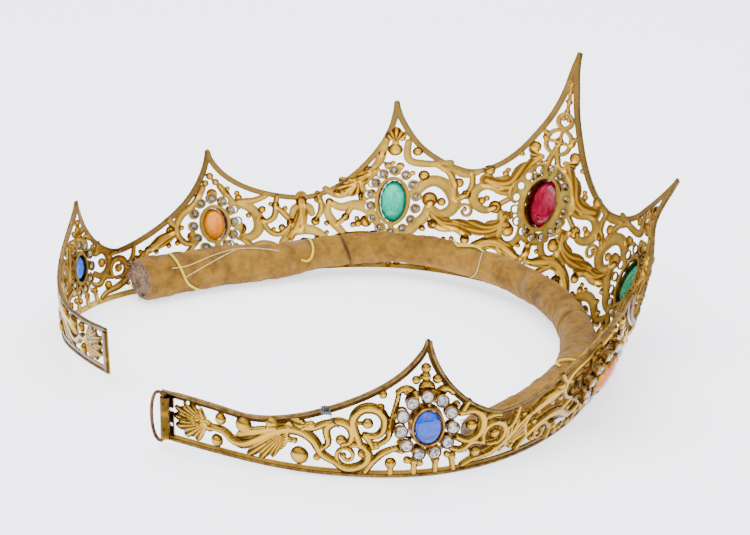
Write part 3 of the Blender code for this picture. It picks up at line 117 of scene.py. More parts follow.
# Scrolls, stems and pegs.
# columns: panel, half width at the start, middle and end, points x, y of the middle line
SCROLLS = (
    (1, (0.8, 1.6, 0.9), ((-60.6, 7.4), (-56.2, 7.2), (-54, 5.6), (-50.5, 5.2), (-45.8, 7.6), (-41, 10.6),
                          (-36.4, 12.2), (-32.5, 11.4), (-29.8, 9.0), (-28.2, 6.2), (-24.5, 4.0))),
    (1, (0.9, 1.2, 0.6), ((-24.5, 4.0), (-22, 2.4), (-17.5, 3.4), (-15.8, 6.4), (-17.6, 9.2), (-20.4, 9.0))),
    (1, (0.6, 1.1, 0.7), ((-28.6, 7.4), (-26.4, 9.4), (-26.9, 13), (-23.8, 15.6), (-20.4, 13.6),
                          (-20.6, 10.2), (-22.6, 9.2))),
    (1, (0.6, 0.9, 0.5), ((-34.2, 13.2), (-30.5, 13.2), (-27.5, 14.8), (-24.2, 15.8))),
    (1, (0.8, 1.3, 0.7), ((-17.8, 8.9), (-19, 12.2), (-19.9, 16.2), (-17.4, 19.6), (-13.4, 19.4),
                          (-11.4, 15.8), (-13.4, 12.2), (-16.8, 12.3))),
    (1, (0.7, 0.9, 0.7), ((-16.6, 1.6), (-14.6, 4.6), (-11.8, 7.2), (-8.2, 8.6))),
    (1, (0.6, 0.8, 0.6), ((-12.8, 9.8), (-10.6, 11.6), (-9.8, 15), (-8.9, 19), (-7.9, 23.8))),
    (1, (0.6, 0.8, 0.6), ((-14.6, 8.6), (-15.6, 10.6), (-17.0, 12.0))),
    (1, (0.7, 0.7, 0.7), ((-9.9, 4.2), (-9.9, 1.4))),
    (1, (0.7, 0.7, 0.7), ((-3.5, 4.6), (-3.5, 1.4))),
    (1, (0.7, 0.7, 0.7), ((2.6, 4.6), (2.6, 1.4))),
    (1, (0.7, 0.7, 0.7), ((7.2, 5.0), (8.0, 1.4))),
    (1, (0.7, 0.8, 0.7), ((-8.0, 24.6), (-6.0, 25.6), (-3.6, 24.4), (-3.0, 21.8))),
    (1, (0.7, 0.8, 0.7), ((6.8, 24.0), (5.0, 25.4), (3.0, 24.2), (2.4, 21.8))),
    (1, (0.6, 1.3, 0.9), ((6.6, 20.0), (9.2, 17.8), (12.8, 18.2), (15.8, 15.4), (15.2, 11.2),
                          (11.8, 9.4), (8.2, 11.0))),
    (1, (0.8, 0.8, 0.8), ((9.6, 18.0), (11.4, 21.0))),
    (1, (0.7, 1.0, 0.7), ((7.0, 7.6), (10.4, 6.8), (12.8, 8.4), (16.6, 7.8))),
    (1, (0.6, 1.1, 0.6), ((16.8, 7.6), (16.4, 11.0), (18.6, 13.4), (21.8, 12.8), (23, 10),
                          (21.6, 7.4), (18.2, 7.2))),
    (1, (0.7, 1.1, 0.8), ((10.6, 2.0), (13.4, 3.2), (17.6, 3.8), (22, 5.6), (26, 9.4), (30.6, 13.4))),
    (1, (0.6, 0.8, 0.6), ((15.8, 15.2), (18.8, 16.0), (21, 15.8))),
    (1, (0.6, 0.8, 0.6), ((23, 10.6), (25.6, 12.2), (27, 16.8))),
    (2, (0.8, 0.9, 0.7), ((-3.0, 33.4), (-4.6, 30.6), (-7.0, 27.6), (-10.6, 25.2), (-13.4, 21.6),
                          (-13.4, 17.2), (-10.8, 14.4), (-7.6, 14.2))),
    (2, (0.6, 0.8, 0.6), ((-14.4, 21.0), (-16.6, 23.6))),
    (2, (0.9, 1.5, 0.8), ((-14.6, 18.6), (-18.4, 17.2), (-22.0, 15.2), (-25.0, 13.8))),
    (2, (0.6, 0.8, 0.6), ((-24.6, 14.2), (-26.6, 10.6), (-25.0, 6.2))),
    (2, (0.7, 0.9, 0.7), ((3.0, 33.4), (4.6, 30.6), (6.6, 27.2), (8.6, 25.0))),
    (2, (0.7, 0.9, 0.7), ((6.4, 26.2), (9.6, 26.8), (13.4, 26.6), (18.2, 27.8))),
    (2, (0.9, 1.4, 0.9), ((9.2, 26.0), (12.6, 24.2), (15.0, 20.6), (14.8, 16.2), (11.6, 13.8), (7.8, 14.4))),
    (2, (0.6, 0.8, 0.6), ((15.2, 20.0), (17.2, 18.6), (20.6, 19.8), (21.6, 24.0), (22.4, 27.4))),
    (2, (0.8, 1.1, 0.8), ((27.2, 20.0), (28.1, 22.1), (30.6, 22.8), (33.1, 22.1), (34.0, 20.0))),
    (2, (1.3, 1.2, 0.9), ((30.6, 26.6), (30.6, 20.4), (30.6, 14.4))),
    (2, (0.9, 1.3, 0.9), ((22.8, 10.6), (26.2, 13.4), (30.6, 14.4), (35.0, 13.4), (38.6, 10.6))),
    (2, (0.6, 0.8, 0.6), ((21.9, 23.2), (24.4, 20.6), (26.4, 17.6))),
    (2, (0.6, 0.8, 0.6), ((36.2, 27.4), (37.4, 21.6), (35.4, 17.8))),
    (2, (0.6, 0.7, 0.6), ((16.8, 18.6), (18.6, 15.0), (22.4, 13.6), (26.4, 16.6))),
    (2, (0.7, 1.2, 0.7), ((-28, 3.0), (-24.6, 6.6), (-19, 9.6), (-12.4, 9.8), (-6.4, 6.6), (-1.0, 9.8))),
    (2, (0.7, 1.2, 0.7), ((1.0, 9.8), (6.4, 6.6), (12.4, 9.8), (19, 9.6), (25.4, 6.6), (30.6, 9.4))),
    (2, (0.7, 0.7, 0.7), ((-14, 6), (-14, 1.4))),
    (2, (0.7, 0.7, 0.7), ((14, 6), (14, 1.4))),
    (2, (0.7, 0.7, 0.7), ((0, 14.2), (0, 1.4))),
    (2, (0.7, 0.7, 0.7), ((30.6, 9.4), (30.6, 1.4))),
    (2, (0.6, 0.7, 0.6), ((-7.6, 14.2), (-11, 11), (-12.6, 9.6))),
    (2, (0.6, 0.7, 0.6), ((7.8, 14.4), (11, 11.4), (12.6, 9.6))),
    (3, (0.7, 0.9, 0.7), ((4.0, 46.0), (3.8, 41.6), (5.0, 39.0), (9, 38.3), (13, 38.5), (18.0, 39.6))),
    (3, (0.6, 0.8, 0.6), ((12.6, 38.4), (17.2, 36.6), (19.6, 33.6), (20.8, 30.2), (21.0, 27.2))),
    (3, (1.2, 1.5, 1.1), ((7.2, 27.2), (9.8, 30.6), (13.4, 32.4), (17.6, 31.2), (20.4, 28.2),
                          (21.4, 24.4), (19.2, 21.4), (16.4, 20.6), (13.0, 22.6))),
    (3, (1.1, 1.3, 1.0), ((12.8, 24.0), (11.6, 19.2), (8.4, 15.6), (5.6, 13.0), (0.4, 12.6))),
    (3, (0.6, 0.8, 0.6), ((25.0, 29.0), (21.8, 26.6))),
    (3, (0.6, 0.7, 0.6), ((25.0, 29.0), (26.4, 32.6), (25.6, 37.0))),
    (3, (0.7, 0.9, 0.6), ((16.0, 37.0), (19.6, 37.0), (23.4, 36.0), (27.8, 37.6))),
    (3, (0.8, 1.0, 0.8), ((14.8, 16.6), (18.6, 15.8), (22.6, 16.4), (27.4, 14.4))),
    (3, (0.8, 1.0, 0.7), ((-3.0, 46.4), (-4.0, 42.0), (-5.2, 38.0), (-8.0, 34.8))),
    (3, (0.7, 0.9, 0.7), ((-12.6, 30.0), (-15.4, 27.0), (-19.0, 26.4), (-22.8, 28.8))),
    (3, (0.8, 1.3, 0.8), ((-3.4, 13.2), (-6.4, 18.4), (-9.2, 21.4), (-13.2, 22.5), (-17.4, 21.8),
                          (-21.6, 24.0))),
    (3, (0.7, 1.1, 0.7), ((-21.8, 23.6), (-22.2, 19.6), (-19.0, 14.6), (-15.8, 11.2))),
    (3, (0.6, 0.8, 0.6), ((-9.8, 25.6), (-6.0, 26.0))),
    (3, (0.6, 0.8, 0.6), ((-9.8, 27.0), (-10.4, 29.6))),
    (3, (0.7, 0.7, 0.6), ((-14.0, 22.2), (-16.2, 18.2), (-19.2, 15.8))),
    (3, (0.7, 1.2, 0.7), ((-31.2, 9.4), (-26.4, 6.0), (-20.6, 9.8), (-13, 10.4), (-6.4, 7), (-1.0, 10.6))),
    (3, (0.7, 1.2, 0.7), ((1.0, 10.6), (6.4, 7), (13, 10.4), (20, 9.4), (26, 5.4), (33.6, 8.6))),
    (3, (0.7, 0.7, 0.7), ((-16, 6.4), (-16, 1.4))),
    (3, (0.7, 0.7, 0.7), ((15, 6.4), (15, 1.4))),
    (3, (0.7, 0.7, 0.7), ((0, 16.0), (0, 1.4))),
    (4, (0.3, 0.3, 0.3), ((0, 64.4), (0, 74.6))),
    (4, (0.5, 0.5, 0.5), ((0, 63.6), (-2.2, 62.0), (-2.2, 59.6), (0, 58.0))),
    (4, (0.4, 0.5, 0.4), ((0, 57.7), (-3.2, 56.6), (-4.5, 53.4), (-3.2, 50.2), (0, 49.1))),
    (4, (0.3, 0.4, 0.3), ((0, 57.4), (0, 49.4))),
    (4, (0.3, 0.4, 0.3), ((-4.4, 53.4), (0, 53.4))),
    (4, (0.4, 0.6, 0.4), ((-4.4, 54.4), (-5.4, 55.8), (-6.2, 56.2))),
    (4, (0.6, 0.7, 0.6), ((0, 52.4), (-0.6, 49.4), (-1.8, 45.8), (-0.8, 40.0))),
    (4, (0.6, 0.6, 0.6), ((-1.8, 45.6), (-5.0, 44.6), (-7.2, 45.2))),
    (4, (0.6, 0.9, 0.8), ((-10.0, 29.8), (-12.4, 32.0), (-11.8, 35.5), (-8.7, 37.6), (-6.4, 36.0),
                          (-6.8, 31.5), (-6.8, 26.6), (-4.7, 20.8), (-5.7, 15.9), (-9, 14.2),
                          (-12.4, 16.2), (-12.6, 20.2), (-10.4, 21.2))),
    (4, (0.7, 0.9, 0.6), ((-12.6, 20.0), (-13.6, 24.0), (-14.4, 25.4))),
    (4, (0.7, 1.2, 0.7), ((-17.6, 32.6), (-21.6, 33.0), (-24.6, 30.0), (-23.2, 26.0), (-19.4, 24.6),
                          (-17.0, 26.0))),
    (4, (0.7, 0.7, 0.7), ((-13.0, 34.0), (-17.0, 32.4))),
    (4, (0.6, 0.6, 0.6), ((-11.4, 30.6), (-14.6, 28.0))),
    (4, (0.7, 1.5, 0.9), ((-1.0, 10.8), (-7, 12.0), (-11.6, 14.0), (-16.6, 13.2), (-20.4, 10.4),
                          (-23.2, 6.6), (-27, 2.0))),
    (4, (0.7, 0.9, 0.7), ((-16.9, 8.6), (-16.9, 1.4))),
    (4, (0.7, 0.8, 0.7), ((-4.6, 6.6), (-4.6, 1.4))),
    (4, (0.6, 0.8, 0.6), ((0, 22.6), (0, 17.0), (-0.8, 11.0))),
    (4, (0.6, 0.7, 0.6), ((-4.8, 19.6), (-2.4, 17.8), (0, 17.2))),
    (4, (0.6, 0.7, 0.6), ((-4.6, 6.6), (-8, 9.4), (-12, 12.6))),
)

# Acanthus leaves, each a rib with lobes on both sides.
# columns: panel, length of the longest lobes, lobes on a side, points x, y from root to tip
LEAVES = (
    (2, 3.0, 3, ((-14.2, 18.4), (-19, 16.6), (-24.6, 14.4))),
    (2, 3.2, 3, ((26.0, 12.0), (30.6, 20.0), (30.6, 27.0))),
    (3, 3.8, 4, ((-6.2, 35.0), (-9.6, 32.6), (-15.8, 29.8))),
    (3, 3.4, 4, ((13.6, 20.6), (18.0, 17.6), (23.0, 17.2), (29.0, 15.0))),
    (3, 3.2, 4, ((-6.0, 12.0), (-13.0, 10.6), (-20.6, 9.8), (-27.0, 7.0))),
    (4, 5.2, 5, ((-21.4, 35.2), (-16.4, 34.2), (-12.4, 35.4), (-9.8, 39.4), (-7.6, 43.4), (-5.0, 47.2))),
    (4, 4.2, 5, ((-12.0, 24.0), (-13.6, 20.0), (-18.4, 17.8), (-23, 18.0), (-30.2, 18.8))),
    (4, 3.2, 4, ((-3.0, 11.0), (-9.0, 13.2), (-15.6, 13.6), (-21.4, 10.4), (-26.4, 5.0))),
)

# Fans of lobes that leave one root.
# columns: panel, root x, y, tips x, y
FANS = (
    (1, -61.7, 8.2, ((-72.6, 8.0), (-72.2, 10.9), (-72.0, 5.0), (-68.8, 13.0), (-68.6, 2.6),
                     (-64.8, 13.3), (-64.6, 2.3))),
    (1, -37.0, 12.4, ((-52.6, 7.0), (-52.2, 3.6), (-49.0, 1.9), (-45.2, 1.7), (-41.4, 3.0), (-38.6, 6.4))),
    (1, -31.0, 14.2, ((-36.4, 15.4), (-36.0, 11.4))),
    (1, 24.4, 6.0, ((30.8, 12.0), (27.6, 13.2), (31.4, 7.4), (24.0, 11.6))),
    (3, 0.0, 45.6, ((0.0, 51.4), (-3.4, 48.8), (3.4, 48.8))),
    (3, -11.4, 30.6, ((-18.0, 32.6), (-19.4, 28.6), (-15.4, 25.6), (-10.0, 27.0))),
    (4, -4.8, 47.0, ((-9.6, 49.8), (-8.0, 45.6), (-4.8, 43.0))),
)

# Gaps beside the palmette at each end.
# columns: distance from the end, height, half length along, half height
END_HOLES = (
    (5.4, 12.0, 1.5, 0.9), (8.3, 12.7, 0.6, 0.6), (5.5, 2.9, 1.6, 0.8), (2.7, 9.3, 0.9, 0.55),
    (2.6, 4.9, 0.5, 0.6), (9.6, 2.6, 0.9, 0.5), (11.6, 12.3, 0.7, 0.5),
)

# How much broader the scrolls are drawn than their table says, by panel.
BROADER = {1: 1.2, 2: 1.5, 3: 1.55, 4: 1.6}

# How broad the leaves are drawn, as a share of their table's reach.
LEAF_SHARE = 0.74

# Places where the thin sheet is bent.
# columns: distance along, height, reach along, reach up, outward shift
DENTS = (
    (-52.2, 47.0, 16.0, 8.0, -2.6), (-52.2, 61.6, 6.0, 5.0, 0.8), (-50.0, 12.0, 10.0, 12.0, 0.8),
    (4.0, 60.0, 7.0, 6.0, 0.9), (-6.0, 50.0, 7.0, 6.0, -0.7), (3.0, 76.0, 6.0, 6.0, -0.8),
    (27.0, 30.0, 10.0, 9.0, -0.6), (-27.0, 30.0, 8.0, 9.0, 0.7), (86.0, 20.0, 14.0, 10.0, 0.8),
    (-83.0, 16.0, 10.0, 10.0, -0.9), (-100.0, 24.0, 9.0, 9.0, 0.6), (148.0, 12.0, 14.0, 10.0, 0.6),
    (-148.0, 12.0, 9.0, 8.0, 0.7), (-215.0, 8.0, 14.0, 9.0, 0.5), (222.0, 8.0, 12.0, 9.0, -0.6),
)

# Padding roll inside the lower edge.
# columns: distance along, radius, height of its middle
ROLL = (
    (-153.0, 5.8, 5.9), (-140.0, 6.3, 6.4), (-114.0, 6.5, 6.6), (-80.0, 6.3, 6.4), (-52.2, 6.0, 6.8),
    (-25.0, 5.7, 8.6), (0.0, 5.6, 9.6), (26.0, 5.6, 10.4), (52.2, 5.6, 10.6), (75.0, 5.8, 9.0),
    (95.0, 6.6, 7.2), (114.0, 7.2, 7.3), (140.5, 7.6, 7.7), (149.5, 8.0, 8.1),
)
SHEET_BEHIND = 0.9         # the roll's clear distance is counted from this depth
SEAM_ANGLE = 2.5           # of the roll's seam round it, in radians from its inner side up

# Wire loop in the folded near end, and the thin wire wound on the top rail.
LOOP_WIRE, LOOP_REACH, LOOP_BOTTOM, LOOP_TOP = 0.5, 4.0, 0.0, 14.6    # radius, width, from, to
HINGE_INSET, HINGE_OUT = 1.1, 1.45    # of its leg, from the end of the sheet and from its outer face
WRAP_PLACE, WRAP_TURNS, WRAP_WIRE, WRAP_PITCH = -197.8, 4.5, 0.28, 0.55

# The end strips folded over: round the loop's leg at the near end, flat at the far one.
# columns: side, leg's inset, radius of the bend, leg's distance out, reach, edge's distance out, shade
END_FOLDS = (
    (-1, HINGE_INSET, 0.8, HINGE_OUT, 2.3, 0.75, 0.3),
    (1, 0.5, 0.28, 0.05, 2.3, 0.1, 0.22),
)

# Glass of each panel's stone.  columns: name, deep and light colour, share of light let through
GLASS = {
    1: ("blue_glass", "#00165E", "#0A54D8", 0.6),
    2: ("salmon_glass", "#A43C10", "#DC642A", 0.25),
    3: ("emerald_glass", "#002E20", "#008660", 0.15),
    4: ("ruby_glass", "#42000E", "#9C0030", 0.15),
    5: ("sea_green_glass", "#00947A", "#00D4A8", 0.1),
    6: ("orange_glass", "#DC7400", "#FFA000", 0.1),
    7: ("light_blue_glass", "#0E44AC", "#2C7EF0", 0.25),
}

# The camera, from the photograph's perspective.
CAMERA_AT = (-369.10, 334.34, 196.02)
CAMERA_AHEAD = (0.70175, -0.63559, -0.32181)
CAMERA_RIGHT = (-0.66872, -0.74345, 0.01011)
CAMERA_LENS = 79.435       # millimetres on a sensor 36 wide


# Curves

def natural_spline(knots, values):
    """Second derivatives at the knots of the natural cubic spline through the values."""
    count = len(knots)
    step = np.diff(knots)
    matrix = np.eye(count)
    right = np.zeros_like(values)
    for k in range(1, count - 1):
        matrix[k, k - 1:k + 2] = step[k - 1], 2 * (step[k - 1] + step[k]), step[k]
        right[k] = 6 * ((values[k + 1] - values[k]) / step[k] - (values[k] - values[k - 1]) / step[k - 1])
    return np.linalg.solve(matrix, right)


def along_spline(knots, values, bends, place):
    """Point and slope of that spline at each place."""
    k = np.clip(np.searchsorted(knots, place) - 1, 0, len(knots) - 2)
    width = (knots[k + 1] - knots[k])[:, None]
    t = (place - knots[k])[:, None] / width
    s = 1 - t
    point = (s * values[k] + t * values[k + 1]
             + width ** 2 / 6 * ((s ** 3 - s) * bends[k] + (t ** 3 - t) * bends[k + 1]))
    slope = ((values[k + 1] - values[k]) / width
             + width / 6 * (-(3 * s ** 2 - 1) * bends[k] + (3 * t ** 2 - 1) * bends[k + 1]))
    return point, slope


def through(points, count):
    """A smooth line through hand-set points, with a given number of stations."""
    points = np.array(points, float)
    if len(points) == 2:
        t = np.linspace(0, 1, 3)[:, None]
        return points[0] * (1 - t) + points[1] * t
    knots = np.r_[0, np.cumsum(np.linalg.norm(np.diff(points, axis=0), axis=1) ** 0.5)]
    bends = natural_spline(knots, points)
    return along_spline(knots, points, bends, np.linspace(0, knots[-1], count))[0]


HEAD = np.array(HEAD_LINE)
HEAD_BENDS = natural_spline(HEAD[:, 0], HEAD[:, 1:3])
PANEL = {row[0]: row for row in PANELS}
PANEL_AT = np.array([-row[1] for row in PANELS] + [row[1] for row in PANELS[-2::-1]])
PANEL_TALL = np.array([row[2] for row in PANELS] + [row[2] for row in PANELS[-2::-1]])
PANEL_BULGE = np.array([row[4] for row in PANELS] + [row[4] for row in PANELS[-2::-1]])


def frame_at(along, high):
    """Point on the sheet's outer face and its outward normal, up direction and tangent, in millimetres.

    The lower edge follows the head line; a height leans outward and bulges as a parabola.
    """
    along = np.atleast_1d(np.asarray(along, float))
    high = np.atleast_1d(np.asarray(high, float))
    point, slope = along_spline(HEAD[:, 0], HEAD[:, 1:3], HEAD_BENDS, along)
    run = slope / np.linalg.norm(slope, axis=1)[:, None]
    out = np.stack([run[:, 1], -run[:, 0]], axis=1)
    lean = np.radians(np.interp(along, HEAD[:, 0], HEAD[:, 4]))
    lift = np.interp(along, HEAD[:, 0], HEAD[:, 3])
    tall = np.interp(along, PANEL_AT, PANEL_TALL)
    bulge = np.interp(along, PANEL_AT, PANEL_BULGE)
    share = high / tall
    offset = high * np.sin(lean) + 4 * bulge * share * (1 - share)
    turned = lean + np.arctan(4 * bulge / tall * (1 - 2 * share))
    for at, tall_at, reach, up_reach, shift in DENTS:
        offset = offset + shift * np.exp(-((along - at) / reach) ** 2 - ((high - tall_at) / up_reach) ** 2)
    spot = np.column_stack([point + out * offset[:, None], lift + high * np.cos(lean)])
    normal = np.column_stack([out * np.cos(turned)[:, None], -np.sin(turned)])
    up = np.column_stack([out * np.sin(turned)[:, None], np.cos(turned)])
    tangent = np.column_stack([run, np.zeros(len(run))])
    return spot - np.array(ORIGIN_SHIFT), normal, up, tangent


def on_band(along, high, outward):
    """Flat sheet coordinates to millimetres in the object's frame."""
    spot, normal, _, _ = frame_at(along, high)
    return spot + normal * np.atleast_1d(outward)[:, None]


# Meshes

def new_mesh(name, points, faces, material, smooth=40.0, body="tiara", slot=None, replaced=(),
             facet_glint_share=None, **values):
    """Object from points in millimetres and a list of face arrays; values become point attributes.

    The face pair is a seed and a least value: each face gets an even random share above it, as painted glints
    and dark facets.
    """
    mesh = bpy.data.meshes.new(name)
    points = np.asarray(points, np.float64) * MM
    corners = np.concatenate([np.asarray(f).ravel() for f in faces])
    sizes = np.concatenate([np.full(len(f), np.asarray(f).shape[1]) for f in faces])
    mesh.vertices.add(len(points))
    mesh.vertices.foreach_set("co", points.astype(np.float32).ravel())
    mesh.loops.add(len(corners))
    mesh.loops.foreach_set("vertex_index", corners.astype(np.int32))
    mesh.polygons.add(len(sizes))
    mesh.polygons.foreach_set("loop_start", np.r_[0, np.cumsum(sizes)[:-1]].astype(np.int32))
    mesh.update(calc_edges=True)
    mesh.validate()
    for label, column in values.items():
        mesh.attributes.new(label, 'FLOAT', 'POINT').data.foreach_set("value", np.asarray(column, np.float32))
    if facet_glint_share:
        # Random share per face, used on cut glass as painted glints and dark facets.
        share = np.random.default_rng(facet_glint_share[0]).uniform(facet_glint_share[1], 1.0, len(mesh.polygons))
        mesh.attributes.new("facet_glint", 'FLOAT', 'FACE').data.foreach_set("value", share.astype(np.float32))
    if smooth:
        mesh.shade_smooth()
        mesh.set_sharp_from_angle(angle=math.radians(smooth))
    mesh.materials.append(material)
    item = bpy.data.objects.new(name, mesh)
    bpy.context.scene.collection.objects.link(item)
    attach(item, body)
    if replaced:
        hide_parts(*replaced)
    return item


def grid_faces(rows, columns, wrap_rows=False, wrap_columns=False):
    """Quads of a grid of points, row by row, joined round where it wraps."""
    r = np.arange(rows if wrap_rows else rows - 1)
    c = np.arange(columns if wrap_columns else columns - 1)
    r, c = np.meshgrid(r, c, indexing="ij")
    r1, c1 = (r + 1) % rows, (c + 1) % columns
    around = (r * columns + c, r * columns + c1, r1 * columns + c1, r1 * columns + c)
    return np.stack(around, -1).reshape(-1, 4)


def tube(line, radius, sides, closed=False):
    """A circle carried along a line, its frame turned as little as possible; the ends close in a point.

    Point = line + radius * (cos u * first normal + sin u * second normal).
    """
    line = np.asarray(line, float)
    count = len(line)
    run = (np.roll(line, -1, 0) - np.roll(line, 1, 0)) if closed else np.gradient(line, axis=0)
    run /= np.linalg.norm(run, axis=1)[:, None]
    first = np.zeros_like(line)
    side = np.cross(run[0], (0.0, 0.0, 1.0))
    if np.linalg.norm(side) < 0.2:
        side = np.cross(run[0], (1.0, 0.0, 0.0))
    for k in range(count):
        side = side - run[k] * (side @ run[k])
        side /= np.linalg.norm(side)
        first[k] = side
    second = np.cross(run, first)
    turn = np.arange(sides) * 2 * math.pi / sides
    radius = np.broadcast_to(radius, count)[:, None, None]
    ring = (line[:, None] + radius * (np.cos(turn)[None, :, None] * first[:, None]
                                      + np.sin(turn)[None, :, None] * second[:, None]))
    points = ring.reshape(-1, 3)
    faces = [grid_faces(count, sides, wrap_rows=closed, wrap_columns=True)]
    if not closed:
        low, high = len(points), len(points) + 1
        points = np.vstack([points, line[:1] - run[:1] * radius[0, 0] * 0.6,
                            line[-1:] + run[-1:] * radius[-1, 0] * 0.6])
        k = np.arange(sides)
        faces.append(np.stack([np.full(sides, low), (k + 1) % sides, k], 1))
        end = (count - 1) * sides
        faces.append(np.stack([np.full(sides, high), end + k, end + (k + 1) % sides], 1))
    return points, faces


def merged(shapes):
    """Several (points, faces) as one."""
    points, faces, start = [], {}, 0
    for spots, groups in shapes:
        points.append(spots)
        for group in groups:
            faces.setdefault(group.shape[1], []).append(group + start)
        start += len(spots)
    return np.vstack(points), [np.vstack(group) for group in faces.values()]


def outward(points, faces):
    """The faces turned to point out, judged by the sign of the enclosed volume."""
    volume = 0.0
    for group in faces:
        a = points[group[:, 0]]
        for k in range(1, group.shape[1] - 1):
            volume += np.einsum("ij,ij->i", a, np.cross(points[group[:, k]], points[group[:, k + 1]])).sum()
    return faces if volume > 0 else [group[:, ::-1] for group in faces]


# The stamped sheet

def both_halves(rows):
    """Each row on the near half and on the far half, with its panel's distance from the front."""
    for row in rows:
        for side in (-1, 1):
            yield side, PANEL[row[0]][1], row


def top_edge(stations=40):
    """Middle line of the top rail, tip to tip: y = low + rise * sin^p, x = run * cos^p on each side.

    Returned as pieces, each from one tip (or end) over a valley to the next.
    """
    low = list(VALLEYS)[::-1]
    turn = np.linspace(0, math.pi / 2, stations)
    sides = []
    for number, (_, at, tall, power, *_) in enumerate(PANELS):
        outer_at, outer_low = low[number]
        rise = np.column_stack([-at - (outer_at - at) * np.cos(turn) ** (2 / power),
                                outer_low + (tall - outer_low) * np.sin(turn) ** (2 / power)])
        sides.append(rise)
        if number < 3:
            inner_at, inner_low = low[number + 1]
            fall = np.column_stack([-at + (at - inner_at) * np.cos(turn[::-1]) ** (2 / power),
                                    inner_low + (tall - inner_low) * np.sin(turn[::-1]) ** (2 / power)])
            sides.append(fall)
    tail_x = np.linspace(-HALF_LENGTH, -VALLEYS[-1][0], 12)[:-1]
    tail = np.column_stack([tail_x, np.interp(tail_x, (-HALF_LENGTH, -VALLEYS[-1][0]),
                                              (END_HEIGHT, VALLEYS[-1][1]))])
    near = [np.vstack([tail, sides[0]])]
    for k in (1, 3, 5):
        near.append(np.vstack([sides[k], sides[k + 1][1:]]))
    for line in near:
        line[:, 1] -= RAIL_HALF_WIDTH
    rails = near + [line[::-1] * (-1, 1) for line in near[::-1]]
    for line in rails:
        wave = 0.28 * np.sin(line[:, 1] / 4.3 + line[:, 0] / 9.0) * np.clip((line[:, 1] - 30) / 20, 0, 1)
        line[:, 0] += wave * np.clip((84 - line[:, 1]) / 10, 0, 1)
        line[:, 1] += 0.22 * np.sin(line[:, 0] / 6.5) * np.clip((38 - line[:, 1]) / 10, 0, 1)
    return rails


def lengths_along(line):
    """Distance run along a line at each of its points."""
    return np.r_[0, np.cumsum(np.linalg.norm(np.diff(line, axis=0), axis=1))]


def at_runs(line, run, place):
    """Points of a line at given distances run along it."""
    return np.column_stack([np.interp(place, run, line[:, k]) for k in range(line.shape[1])])


def spread(line, spacing):
    """The same line with stations evenly spaced."""
    run = lengths_along(line)
    return at_runs(line, run, np.linspace(0, run[-1], max(3, int(run[-1] / spacing))))


def nearest(line, x, y):
    """Distance from each place of a grid to a line, and the run along the line of the nearest spot."""
    best = np.full(x.shape, 99.0)
    run_at = np.zeros(x.shape)
    start = 0.0
    for here, ahead in zip(line[:-1], line[1:]):
        step = ahead - here
        size = max(float(step @ step), 1e-9)
        t = np.clip(((x - here[0]) * step[0] + (y - here[1]) * step[1]) / size, 0, 1)
        off = np.hypot(x - here[0] - t * step[0], y - here[1] - t * step[1])
        run_at = np.where(off < best, start + t * math.sqrt(size), run_at)
        best = np.minimum(best, off)
        start += math.sqrt(size)
    return best, run_at


